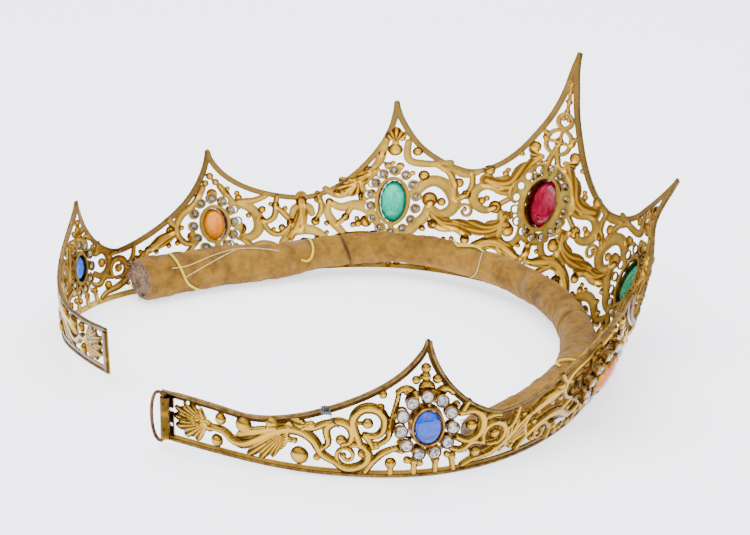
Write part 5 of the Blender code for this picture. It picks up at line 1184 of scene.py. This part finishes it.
def chamois_skin():
    """Oil-tanned sheepskin, napped and rubbed: mustard tan, paler where worn, grey where soiled."""
    made, tree, shader = new_material("chamois_skin", Roughness=0.9, Sheen_Weight=0.05,
                                      Specular_IOR_Level=0.2)
    place = node(tree, "TexCoord", output="Object")
    broad = node(tree, "TexNoise", {"Vector": place, "Scale": 1000 / 22.0, "Detail": 4.0, "Roughness": 0.65})
    fine = node(tree, "TexNoise", {"Vector": place, "Scale": 1000 / 3.0, "Detail": 5.0, "Roughness": 0.7})
    nap = node(tree, "TexNoise", {"Vector": place, "Scale": 1000 / 0.6, "Detail": 4.0, "Roughness": 0.6})
    dirt = node(tree, "TexNoise", {"Vector": place, "Scale": 1000 / 14.0, "Detail": 3.0, "Roughness": 0.6})
    crease = node(tree, "Attribute", output="Fac", attribute_name="crease")
    stuffing = node(tree, "Attribute", output="Fac", attribute_name="stuffing")
    base = node(tree, "ValToRGB", {0: broad}, stops=((0.36, "#4E350A"), (0.5, "#6C4A10"), (0.62, "#8A6422")))
    spots = node(tree, "ValToRGB", {0: fine}, stops=((0.36, "#3C2808"), (0.6, "#946C22")))
    colour = node(tree, "Mix", {0: 0.4, 6: base, 7: spots}, data_type='RGBA')
    soil = node(tree, "MapRange", {0: dirt, 1: 0.58, 2: 0.72, 3: 0.0, 4: 0.35})
    colour = node(tree, "Mix", {0: soil, 6: colour, 7: linear("#746A5C")}, data_type='RGBA')
    # Painted shade: darker in the roll's folds and along its seam.
    painted_crease_shade = node(tree, "Math", {0: crease, 1: 0.9}, operation='MULTIPLY', use_clamp=True)
    colour = node(tree, "Mix", {0: painted_crease_shade, 6: colour, 7: linear("#553C18")}, data_type='RGBA')
    wool = node(tree, "ValToRGB", {0: fine}, stops=((0.35, "#4A372A"), (0.62, "#917660")))
    colour = node(tree, "Mix", {0: stuffing, 6: colour, 7: wool}, data_type='RGBA')
    height = node(tree, "Math", {0: fine, 1: 0.8}, operation='MULTIPLY')
    height = node(tree, "Math", {0: nap, 1: 0.6, 2: height}, operation='MULTIPLY_ADD')
    suede = node(tree, "Bump", {"Height": height, "Strength": 0.7, "Distance": 0.4 * MM})
    join(tree, shader, Base_Color=colour, Normal=suede)
    return made


def thread_cotton(name, code, shadow):
    """Twisted cotton thread; the twist is drawn coarser than real, about 0.5 mm a turn."""
    made, tree, shader = new_material(name, Roughness=0.8, Sheen_Weight=0.1)
    place = node(tree, "TexCoord", output="Object")
    twist = node(tree, "TexNoise", {"Vector": place, "Scale": 1000 / 0.5, "Detail": 2.0, "Roughness": 0.5})
    colour = node(tree, "ValToRGB", {0: twist}, stops=((0.35, shadow), (0.55, code)))
    join(tree, shader, Base_Color=colour)
    return made


# Settings and stones, built in a frame of their own: x along, y up, z outward

def seated(points, along, high):
    """Points of a piece's own frame moved to its place on the band."""
    spot, normal, up, tangent = frame_at(along, high)
    return spot[0] + points @ np.stack([tangent[0], up[0], normal[0]])


# Closed profiles of the collet and of a small stone's cup.  columns: distance past the oval, height
COLLET = ((0.1, -0.3), (0.95, -0.1), (1.2, 0.3), (1.1, 0.8), (0.85, 1.3), (0.95, 2.4), (0.9, 3.0),
          (0.7, 3.35), (0.42, 3.4), (0.12, 3.2), (0.02, 2.9), (0.1, 2.0), (0.1, 0.8))
CUP = ((1.12, 0.0), (1.3, -0.1), (1.5, 0.6), (1.8, 1.5), (1.95, 2.15), (1.8, 2.3), (1.6, 2.1),
       (1.35, 1.2), (1.15, 0.6))

# A small stone and a large one from below.  columns: radius, or share of the oval's, height, share of a
# side by which the row is turned.  The large one's heights count from its girdle.
BRILLIANT = ((0.6, -0.35, 0.0), (1.1, 0.05, 0.5), (1.28, 1.3, 0.0), (1.66, 1.9, 0.5), (1.66, 2.05, 0.5),
             (1.3, 2.5, 0.0), (0.8, 2.75, 0.5))
OVAL_CUT = ((0.45, -2.9, 0.0), (0.74, -2.5, 0.5), (0.94, -1.5, 0.0), (1.0, -0.1, 0.5), (1.0, 0.2, 0.5),
            (0.84, 0.85, 0.0), (0.58, 1.4, 0.5))
GIRDLE = 2.8               # height of a large stone's girdle over the sheet
KEEL = 3.0                 # depth of its lowest point below the girdle


def oval_loft(profile, half_wide, half_tall, sides):
    """A closed profile carried round an oval: x = (a + r) cos u, y = (b + r) sin u, z."""
    turn = np.arange(sides) * 2 * math.pi / sides
    r, z = np.array(profile, float).T
    x = (half_wide + r[:, None]) * np.cos(turn)
    y = (half_tall + r[:, None]) * np.sin(turn)
    points = np.stack([x, y, np.broadcast_to(z[:, None], x.shape)], -1).reshape(-1, 3)
    faces = [grid_faces(len(r), sides, wrap_rows=True, wrap_columns=True)]
    return points, outward(points, faces)


def revolved(profile, sides):
    """Rows of (radius, height) turned about z, each row turned by a share of a side; poles closed."""
    rows = np.array(profile, float)
    turn = (np.arange(sides)[None] + rows[:, 2:3]) * 2 * math.pi / sides
    r, z = rows[:, 0:1], rows[:, 1:2]
    points = np.stack([r * np.cos(turn), r * np.sin(turn), np.broadcast_to(z, turn.shape)], -1).reshape(-1, 3)
    faces = [grid_faces(len(rows), sides, wrap_columns=True)]
    low, high = len(points), len(points) + 1
    points = np.vstack([points, (0, 0, rows[0, 1]), (0, 0, rows[-1, 1])])
    k = np.arange(sides)
    end = (len(rows) - 1) * sides
    faces.append(np.vstack([np.stack([np.full(sides, low), (k + 1) % sides, k], 1),
                            np.stack([np.full(sides, high), end + k, end + (k + 1) % sides], 1)]))
    return points, outward(points, faces)


def halo_places(half_wide, half_tall, count):
    """Evenly spaced places on the oval that the small stones follow."""
    turn = np.linspace(0, 2 * math.pi, 721)
    line = np.column_stack([(half_wide + HALO_REACH) * np.sin(turn),
                            (half_tall + HALO_REACH) * np.cos(turn)])
    run = lengths_along(line)
    return at_runs(line, run, np.arange(count) * run[-1] / count)


def faceted_oval(half_wide, half_tall):
    """A cut oval: flat table of sixteen sides, crown with offset rows, girdle and a pavilion to a keel.

    Each row is an oval of a share of the stone's size, turned by a share of a side.
    """
    sides = 16
    rows = np.array(OVAL_CUT)
    turn = (np.arange(sides)[None] + rows[:, 2:3]) * 2 * math.pi / sides
    x = half_wide * rows[:, 0:1] * np.cos(turn)
    y = half_tall * rows[:, 0:1] * np.sin(turn)
    points = np.stack([x, y, np.broadcast_to(GIRDLE + rows[:, 1:2], x.shape)], -1).reshape(-1, 3)
    index = grid_faces(len(rows), sides, wrap_columns=True)
    split = np.vstack([index[:, (0, 1, 2)], index[:, (0, 2, 3)]])
    keel = len(points)
    points = np.vstack([points, (0, 0, GIRDLE - KEEL)])
    k = np.arange(sides)
    below = np.stack([np.full(sides, keel), (k + 1) % sides, k], 1)
    table = (len(rows) - 1) * sides + k[None]
    return points, outward(points, [np.vstack([split, below]), table])


# Building

def add_band(drawing, material):
    """The stamped sheet as a piece for each panel, cut at the valleys of the top edge."""
    valleys = [at for at, _ in VALLEYS[:3]]
    cuts = [-HALF_LENGTH, *(-at for at in valleys[::-1]), *valleys, HALF_LENGTH]
    for number, (low, high) in enumerate(zip(cuts, cuts[1:]), 1):
        stamped_piece(drawing, f"stamped_panel_{number}", low, high, material)


def add_rails(drawing, material):
    """Rounded bars soldered along the top edge, thinner at the tips, and along the bottom."""
    shapes = []
    for number, line in enumerate(drawing.rails):
        line = spread(line, 1.0)
        run = np.gradient(line, axis=0)
        run /= np.linalg.norm(run, axis=1)[:, None]
        line = line + np.column_stack([-run[:, 1], run[:, 0]]) * (RAIL_HALF_WIDTH - 0.45)
        place = on_band(line[:, 0], line[:, 1], np.full(len(line), 0.12))
        share = np.linspace(0, 1, len(line))
        radius = np.full(len(line), TOP_BAR)
        if number > 0:
            radius *= np.clip(0.85 + share * 3, 0, 1)
        if number < len(drawing.rails) - 1:
            radius *= np.clip(0.85 + (1 - share) * 3, 0, 1)
        shapes.append(tube(place, radius, 10))
    points, faces = merged(shapes)
    new_mesh("top_rail_bar", points, outward(points, faces), material, slot="gilt_brass")
    along = np.arange(-HALF_LENGTH, HALF_LENGTH + 0.1, 1.5)
    place = on_band(along, np.full(len(along), 0.5), np.full(len(along), 0.1))
    points, faces = tube(place, BOTTOM_BAR, 10)
    new_mesh("bottom_rail_bar", points, outward(points, faces), material, slot="gilt_brass")


def add_settings(collet_brass, cup_brass, rhinestone, glasses):
    """On each panel a collet, its ring of small cupped stones and its large cut stone."""
    for number, at, _, _, _, x, y, half_wide, half_tall, count in PANELS:
        for side in ((-1, 1) if at else (-1,)):
            place = number if side < 0 else 8 - number
            along = side * (at - x)
            points, faces = oval_loft(COLLET, half_wide, half_tall, 72)
            new_mesh(f"collet_{place}", seated(points, along, y), faces, collet_brass,
                     slot="setting_brass", replaced=(f"setting_{place}",))
            cups, stones = [], []
            cup, gem = oval_loft(CUP, 0, 0, 16), revolved(BRILLIANT, 8)
            for dx, dy in halo_places(half_wide, half_tall, count):
                cups.append((cup[0] + (dx, dy, 0), cup[1]))
                stones.append((gem[0] + (dx, dy, 0), gem[1]))
            points, faces = merged(cups)
            new_mesh(f"stone_cups_{place}", seated(points, along, y), faces, cup_brass,
                     slot="setting_brass", replaced=(f"setting_{place}",))
            points, faces = merged(stones)
            new_mesh(f"small_stones_{place}", seated(points, along, y), faces, rhinestone, smooth=0,
                     replaced=(f"setting_{place}",), facet_glint_share=(place, 0.0))
            points, faces = faceted_oval(half_wide, half_tall)
            new_mesh(f"cut_stone_{place}", seated(points, along, y), faces, glasses[place], smooth=0,
                     slot=frame_slot(f"stone_{place}"), replaced=(f"stone_{place}",),
                     facet_glint_share=(40 + place, 0.3))


def frame_slot(cad_node):
    """The material slot that the record gives a node."""
    return next(row["material_slot"] for row in frame["record"]["subparts"] if row["node"] == cad_node)


# Rings of the roll's torn ends.  columns: share of the rim's radius, distance out
END_RINGS = ((0.86, -0.5), (0.68, 0.2), (0.48, 0.5), (0.27, 0.3), (0.1, 0.4))


def roll_station(place):
    """Middle of the roll, its inward direction and its radius at each distance along."""
    rows = np.array(ROLL)
    radius = np.interp(place, rows[:, 0], rows[:, 1])
    high = np.interp(place, rows[:, 0], rows[:, 2])
    point, slope = along_spline(HEAD[:, 0], HEAD[:, 1:3], HEAD_BENDS, place)
    run = slope / np.linalg.norm(slope, axis=1)[:, None]
    inward = np.stack([-run[:, 1], run[:, 0]], axis=1)
    lean = np.radians(np.interp(place, HEAD[:, 0], HEAD[:, 4]))
    lift = np.interp(place, HEAD[:, 0], HEAD[:, 3])
    room = SHEET_BEHIND + (radius + 0.5 - (high - lift) * np.sin(lean)) / np.cos(lean)
    middle = np.column_stack([point + inward * room[:, None], high]) - np.array(ORIGIN_SHIFT)
    return middle, np.column_stack([inward, np.zeros(len(inward))]), radius


# Folds across the roll.  columns: distance along, angle round it, depth, width along, reach round
FOLDS = (
    (-141.0, 1.2, 0.5, 2.0, 1.4), (-118.0, 0.8, 0.4, 1.6, 1.2), (-96.0, 1.4, 0.5, 2.2, 1.0),
    (-54.0, 0.4, 1.7, 0.6, 1.6), (-42.0, 1.5, 0.4, 1.8, 1.0), (-14.0, 0.9, 0.4, 1.4, 1.2),
    (12.0, 1.3, 0.5, 1.7, 1.0), (38.0, 1.1, 0.4, 2.0, 1.3), (69.0, 0.4, 1.7, 0.6, 1.7),
    (82.0, 0.8, 0.5, 2.2, 1.1), (101.0, 1.3, 0.6, 1.6, 1.2), (118.0, 1.0, 0.5, 2.0, 1.4),
    (131.0, 1.4, 0.6, 1.5, 1.5),
)


def turned_from(angle, middle):
    """Angle counted from a middle one, between minus pi and pi."""
    return np.angle(np.exp(1j * (angle - middle)))


def add_roll(material):
    """The roll: radius = r * (1 + lumps) - folds, with a pressed flat foot and a sewn seam.

    u runs round it from the side away from the band (0) over the top, v runs along it. Each end is
    closed by rings drawn in to its middle: ring = middle + share * (rim - middle) + depth * ahead.
    """
    place = np.linspace(ROLL[0][0] + 0.4, ROLL[-1][0] - 0.4, 560)
    middle, inward, radius = roll_station(place)
    turn = np.arange(56) * 2 * math.pi / 56
    v, u = np.meshgrid(place, turn, indexing="ij")
    lumps = (0.020 * np.sin(v / 6.1 + 2.1 * np.sin(u)) + 0.016 * np.sin(v / 2.7 + 1.3 * np.cos(2 * u) + 0.7)
             + 0.022 * np.sin(v / 13.0 + u) * np.cos(2 * u) + 0.010 * np.sin(v / 1.3 + 3 * u)
             + 0.012 * np.sin(v / 0.9 - 4 * u + 1.9 * np.sin(v / 7)))
    crease = np.zeros_like(v)
    for at, angle, depth, width, reach in FOLDS:
        slant = at + 2.2 * np.sin(u - angle)
        near = np.exp(-((v - slant) / width) ** 2) * np.exp(-(turned_from(u, angle) / reach) ** 2)
        crease = np.maximum(crease, near * depth)
    seam = np.exp(-(turned_from(u, SEAM_ANGLE) / 0.10) ** 2)
    size = radius[:, None] * (0.965 + lumps) - 0.8 * crease - 0.45 * seam
    ends = np.minimum(v - place[0], place[-1] - v)
    size *= np.clip(0.80 + 0.20 * np.clip(ends / 3.0, 0, 1) ** 0.5, 0, 1)
    away = size * np.cos(u)
    high = size * np.sin(u)
    floor = -0.955 * radius[:, None]
    high = np.where(high < floor, floor + 0.15 * (high - floor), high)
    points = (middle[:, None] + inward[:, None] * away[..., None]
              + np.array([0, 0, 1.0]) * high[..., None])
    rows = [points.reshape(-1, 3)]
    stuffing = [np.clip(1 - ends / 1.2, 0, 1).ravel() * 0.6]
    # The crease attribute carries the folds and the seam for painted shade in the skin's colour.
    crease_rows = [crease.ravel() + 0.5 * seam.ravel()]
    sides = len(turn)
    faces = [grid_faces(len(place), sides, wrap_columns=True)]
    count = len(place) * sides
    shares, depths = np.array(END_RINGS).T[:, :, None]
    cap_size = len(END_RINGS) * sides + 1
    k = np.arange(sides)
    k1 = (k + 1) % sides
    for last in (False, True):
        ring, behind = (points[-1], points[-3]) if last else (points[0], points[2])
        centre = ring.mean(0)
        step = centre - behind.mean(0)
        step /= np.linalg.norm(step)
        wobble = 0.5 * np.sin(3 * turn + 9 * shares) + 0.35 * np.sin(7 * turn - 5 * shares)
        depth = depths + wobble * 0.6
        cap = centre + (ring - centre) * shares[..., None] + step * depth[..., None]
        rows += [cap.reshape(-1, 3), centre[None] + step * 0.4]
        stuffing += [np.ones(cap_size)]
        crease_rows += [np.zeros(cap_size)]
        start = count + cap_size * last
        tip = start + cap_size - 1
        rim = count - sides if last else 0
        closing = [np.stack([rim + k, rim + k1, start + k1, start + k], 1),
                   grid_faces(len(END_RINGS), sides, wrap_columns=True) + start,
                   np.stack([tip - sides + k, tip - sides + k1, np.full(sides, tip)], 1)]
        faces += closing if last else [group[:, ::-1] for group in closing]
    points = np.vstack(rows)
    quads = np.vstack([f for f in faces if f.shape[1] == 4])
    tris = np.vstack([f for f in faces if f.shape[1] == 3])
    item = new_mesh("chamois_roll", points, outward(points, [quads, tris]), material, smooth=60.0,
                    slot="chamois", replaced=("padding_roll",),
                    crease=np.concatenate(crease_rows), stuffing=np.concatenate(stuffing))
    return item


def add_wool(material):
    """Short fibres that stand out of the roll's two torn ends: a bent line from a seeded place on each face.

    Point = start + length * (t * outward + t^2 * sideways), with seeded directions.
    """
    chance = np.random.default_rng(WOOL_SEED)
    shapes = []
    for row, way, count in ((ROLL[-1], 1, 150), (ROLL[0], -1, 60)):
        middle, inward, radius = roll_station(row[0] - way * np.array([0.6, 2.0]))
        ahead = middle[0] - middle[1]
        ahead /= np.linalg.norm(ahead)
        high = np.array([0, 0, 1.0])
        for _ in range(count):
            turn, share = chance.uniform(0, 2 * math.pi), math.sqrt(chance.uniform(0.05, 0.9))
            radial = inward[0] * math.cos(turn) + high * math.sin(turn)
            start = middle[0] + radial * radius[0] * 0.93 * share
            length = chance.uniform(0.9, 2.3)
            sideways = radial * chance.uniform(-0.2, 0.9)
            sideways = sideways + np.cross(radial, ahead) * chance.uniform(-0.8, 0.8)
            t = np.linspace(0, 1, 5)[:, None]
            line = start + length * (t * ahead * chance.uniform(0.2, 0.9) + t ** 2 * sideways)
            line[:, 2] = np.maximum(line[:, 2], 0.3)
            shapes.append(tube(line, 0.09, 4))
    points, faces = merged(shapes)
    new_mesh("torn_wool", points, outward(points, faces), material, slot="chamois")


def loop_line():
    """Middle line of the wire loop: a straight leg on the hinge line and a bow beside it."""
    middle, half = (LOOP_BOTTOM + LOOP_TOP) / 2, (LOOP_TOP - LOOP_BOTTOM) / 2
    leg = np.column_stack([np.zeros(8), np.linspace(LOOP_TOP - 1.0, LOOP_BOTTOM + 1.0, 8)])
    turn = np.linspace(-math.pi / 2, math.pi / 2, 33)
    bow = np.column_stack([0.9 + (LOOP_REACH - 0.9) * np.cos(turn) ** 0.75, middle + half * np.sin(turn)])
    return np.vstack([leg, bow])


def add_wires(copper, steel):
    """The wire loop on its hinge line, and the thin wire wound on the top rail.

    Winding = rail + reach * (cos u up, sin u outward), moved on along the rail by a pitch each turn.
    """
    line = loop_line()
    along = -(HALF_LENGTH - HINGE_INSET)
    spot, normal, up, tangent = frame_at(along, 0.0)
    place = (spot[0] + normal[0] * HINGE_OUT - tangent[0] * line[:, :1] + up[0] * line[:, 1:2])
    points, faces = tube(place, LOOP_WIRE, 12, closed=True)
    new_mesh("wire_loop", points, outward(points, faces), copper, body="clasp_loop",
             slot="copper_wire", replaced=("clasp_loop",))
    turns = np.linspace(0, WRAP_TURNS * 2 * math.pi, int(WRAP_TURNS * 24))
    edge = top_edge()[0]
    high = float(np.interp(WRAP_PLACE, edge[:, 0], edge[:, 1]))
    reach = 0.66 + WRAP_WIRE
    along = WRAP_PLACE + (turns / (2 * math.pi) - WRAP_TURNS / 2) * WRAP_PITCH
    coil = on_band(along, high + reach * np.cos(turns) * 1.05, -0.2 + reach * 1.1 * np.sin(turns))
    drop = np.linspace(0, 1, 14)
    tail = on_band(along[-1] + 2.2 * drop ** 1.5, high - reach - 3.4 * drop, 0.6 + 0.8 * np.sin(3 * drop))
    points, faces = merged([tube(coil, WRAP_WIRE, 8), tube(tail, 0.16, 6)])
    new_mesh("rail_wire", points, outward(points, faces), steel, slot="steel_wire",
             replaced=("rail_wire_wrap",))


def add_end_folds(material):
    """The end strip folded round the loop's leg: a wall carried round the leg and up the end.

    Section: round the leg from the sheet's outer face, over the top and back to the strip's edge.
    """
    for side, inset, radius, out, reach, rest, light in END_FOLDS:
        turn = np.linspace(-math.pi / 2, math.pi / 2, 12)
        bend = np.column_stack([inset - radius * np.cos(turn), out + radius * np.sin(turn)])
        bend[:, 0] = np.maximum(bend[:, 0], 0.05)
        low = np.array([(inset + 1.2, 0.05 if side < 0 else out - radius)])
        flap = np.array([(inset + 0.9, out + radius * 0.95), (inset + 1.7, out * 0.75 + radius * 0.6),
                         (reach, rest)])
        line = spread(np.vstack([low, bend, flap]), 0.25)
        run = np.gradient(line, axis=0)
        run /= np.linalg.norm(run, axis=1)[:, None]
        normal = np.column_stack([run[:, 1], -run[:, 0]])
        wall = np.vstack([line + normal * 0.2, (line - normal * 0.2)[::-1]])
        high = np.concatenate([[1.0], np.linspace(1.1, 13.2, 26), [13.3]])
        rows = []
        for level, share in zip(high, np.r_[0.6, np.ones(26), 0.6]):
            section = wall if share == 1 else wall.mean(0) + (wall - wall.mean(0)) * 0.995
            stud = 0.4 * np.exp(-((level - 3.4) / 0.9) ** 2) + 0.4 * np.exp(-((level - 11.0) / 0.9) ** 2)
            over = np.exp(-((section[:, 0] - 1.7) / 0.7) ** 2) * (section[:, 1] > out)
            section = section + np.column_stack([0 * over, stud * over]) * (side < 0)
            along = side * (HALF_LENGTH - section[:, 0])
            rows.append(on_band(along, np.full(len(section), level), section[:, 1]))
        points = np.vstack(rows)
        width = len(wall)
        k = np.arange(width // 2 - 1)
        cap = np.stack([k, k + 1, width - 2 - k, width - 1 - k], 1)
        faces = [np.vstack([grid_faces(len(high), width, wrap_columns=True),
                            cap, cap[:, ::-1] + (len(high) - 1) * width])]
        # Painted highlight: two lighter bands across the fold, for the light caught by its embossed studs.
        shade = light + 0.25 * np.exp(-((np.abs(points[:, 2] - 7.2) - 3.8) / 0.9) ** 2)
        new_mesh("near_end_fold" if side < 0 else "far_end_fold", points, outward(points, faces), material,
                 slot="gilt_brass", shade=shade)


# Stitches: distance along the roll, then angle round it (radians from the inner side up) of each point.
STITCHES = (
    ((136.0, 1.5), (135.0, 0.95), (133.0, 0.1), (130.5, -0.35), (127.0, -0.7)),
    ((84.0, 1.5), (83.0, 0.7), (84.5, 0.1), (88.0, 0.15)),
    ((24.0, 1.7), (21.0, 1.2), (17.0, 1.35), (12.0, 1.7)),
    ((20.0, 1.3), (15.0, 1.6), (9.0, 1.3)),
    ((-98.0, 1.9), (-101.0, 1.2), (-105.0, 1.5)),
)
LOOSE_THREADS = (
    ((137.5, 0.6), (129.0, 0.65), (112.0, 1.2), (96.5, 0.85)),
    ((132.5, 0.1), (122.0, 0.6), (112.0, 1.15)),
    ((9.0, 1.25), (7.5, 0.3), (13.0, -0.85)),
)


def add_threads(yellow, pale):
    """Threads that lie on the roll: a round thread on a line at (distance along, angle) just off its skin."""
    for name, rows, radius, material in (("yellow_stitches", STITCHES, 0.4, yellow),
                                         ("loose_threads", LOOSE_THREADS, 0.13, pale)):
        shapes = []
        for row in rows:
            line = through(row, 40)
            middle, inward, size = roll_station(line[:, 0])
            away = size * 1.02 + radius * 0.6
            place = (middle + inward * (away * np.cos(line[:, 1]))[:, None]
                     + np.array([0, 0, 1.0]) * (away * np.sin(line[:, 1]))[:, None])
            shapes.append(tube(place, radius, 7))
        points, faces = merged(shapes)
        new_mesh(name, points, outward(points, faces), material, slot="chamois")


def add_stage():
    """Pale seamless floor, a wide soft light above and a fill from the camera's side."""
    made, _, _ = new_material("pale_paper", Roughness=0.9, Base_Color=linear("#F6F7FD"),
                              Specular_IOR_Level=0.2, Emission_Color=linear("#E9ECFA"),
                              Emission_Strength=1.65)
    mesh = bpy.data.meshes.new("floor")
    corners = [(x * 4.0, y * 4.0, 0) for x, y in ((-1, -1), (1, -1), (1, 1), (-1, 1))]
    mesh.from_pydata(corners, [], [(0, 1, 2, 3)])
    mesh.materials.append(made)
    floor = bpy.data.objects.new("floor", mesh)
    bpy.context.scene.collection.objects.link(floor)
    world = bpy.data.worlds.new("studio")
    bpy.context.scene.world = world
    world.use_nodes = True
    tree = world.node_tree
    way = node(tree, "TexCoord", output="Generated")
    high = node(tree, "SeparateXYZ", {0: way}, output="Z")
    share = node(tree, "Math", {0: high, 1: 0.5, 2: 0.5}, operation='MULTIPLY_ADD')
    sky = node(tree, "ValToRGB", {0: share},
               stops=((0.0, "#8A8A90"), (0.5, "#3C3D42"), (0.64, "#8C9098"), (0.8, "#FFFFFF")))
    boxes = node(tree, "TexNoise", {"Vector": way, "Scale": 2.0, "Detail": 1.0, "Roughness": 0.4})
    boxes = node(tree, "MapRange", {0: boxes, 1: 0.38, 2: 0.62, 3: 0.9, 4: 3.2})
    tree.links.new(sky, tree.nodes["Background"].inputs[0])
    tree.links.new(boxes, tree.nodes["Background"].inputs[1])
    for name, at, size, power in (("softbox", (0.1, 0.25, 1.1), 1.2, 18.0),
                                  ("fill", (-1.0, 0.5, 0.6), 0.9, 4.0),
                                  ("rim", (0.7, -0.9, 0.9), 0.7, 5.0)):
        light = bpy.data.lights.new(name, 'AREA')
        light.size = size
        light.energy = power
        lamp = bpy.data.objects.new(name, light)
        lamp.location = at
        lamp.rotation_mode = 'QUATERNION'
        lamp.rotation_quaternion = (Vector((0, 0, 0.02)) - Vector(at)).to_track_quat('-Z', 'Y')
        bpy.context.scene.collection.objects.link(lamp)


def add_camera():
    """The photograph's viewpoint: a place, the way ahead and the way to the right, squared up."""
    ahead, right = Vector(CAMERA_AHEAD).normalized(), Vector(CAMERA_RIGHT)
    right = (right - ahead * right.dot(ahead)).normalized()
    up = right.cross(ahead)
    turned = Matrix((right, up, -ahead)).transposed().to_4x4()
    data = bpy.data.cameras.new("camera")
    data.lens = CAMERA_LENS
    data.sensor_width = 36.0
    data.clip_start, data.clip_end = 0.01, 20.0
    camera = bpy.data.objects.new("camera", data)
    camera.matrix_world = Matrix.Translation(Vector(CAMERA_AT) * MM) @ turned
    bpy.context.scene.collection.objects.link(camera)
    bpy.context.scene.camera = camera


def main():
    """Materials first, then the object's pieces, then the stage."""
    gilt = stamped_gilt_brass()
    rail = plain_gilt("rail_brass", "#7C6034", "#4E3A20", 0.42)
    collet = plain_gilt("collet_brass", "#A87A2C", "#6A4416", 0.3)
    cups = plain_gilt("stone_cup_brass", "#A08044", "#5C4220", 0.36)
    copper = plain_gilt("copper_wire_patina", "#6B4A30", "#3E2A1C", 0.45)
    steel = plain_gilt("iron_wire_dull", "#74767A", "#3C3D40", 0.4)
    clear = cut_glass("rhinestone_glass", "#3C3028", "#E2DAD4", 0.25, shine=0.5)
    glasses = {place: cut_glass(*row) for place, row in GLASS.items()}
    drawing = Drawing()
    add_band(drawing, gilt)
    add_rails(drawing, rail)
    add_settings(collet, cups, clear, glasses)
    add_end_folds(gilt)
    add_roll(chamois_skin())
    add_wool(thread_cotton("matted_wool", "#8E7660", "#4E3C2C"))
    add_threads(thread_cotton("yellow_cotton", "#DCC430", "#A48C1C"),
                thread_cotton("pale_cotton", "#D6C89A", "#A8946A"))
    add_wires(copper, steel)
    add_stage()
    add_camera()


main()
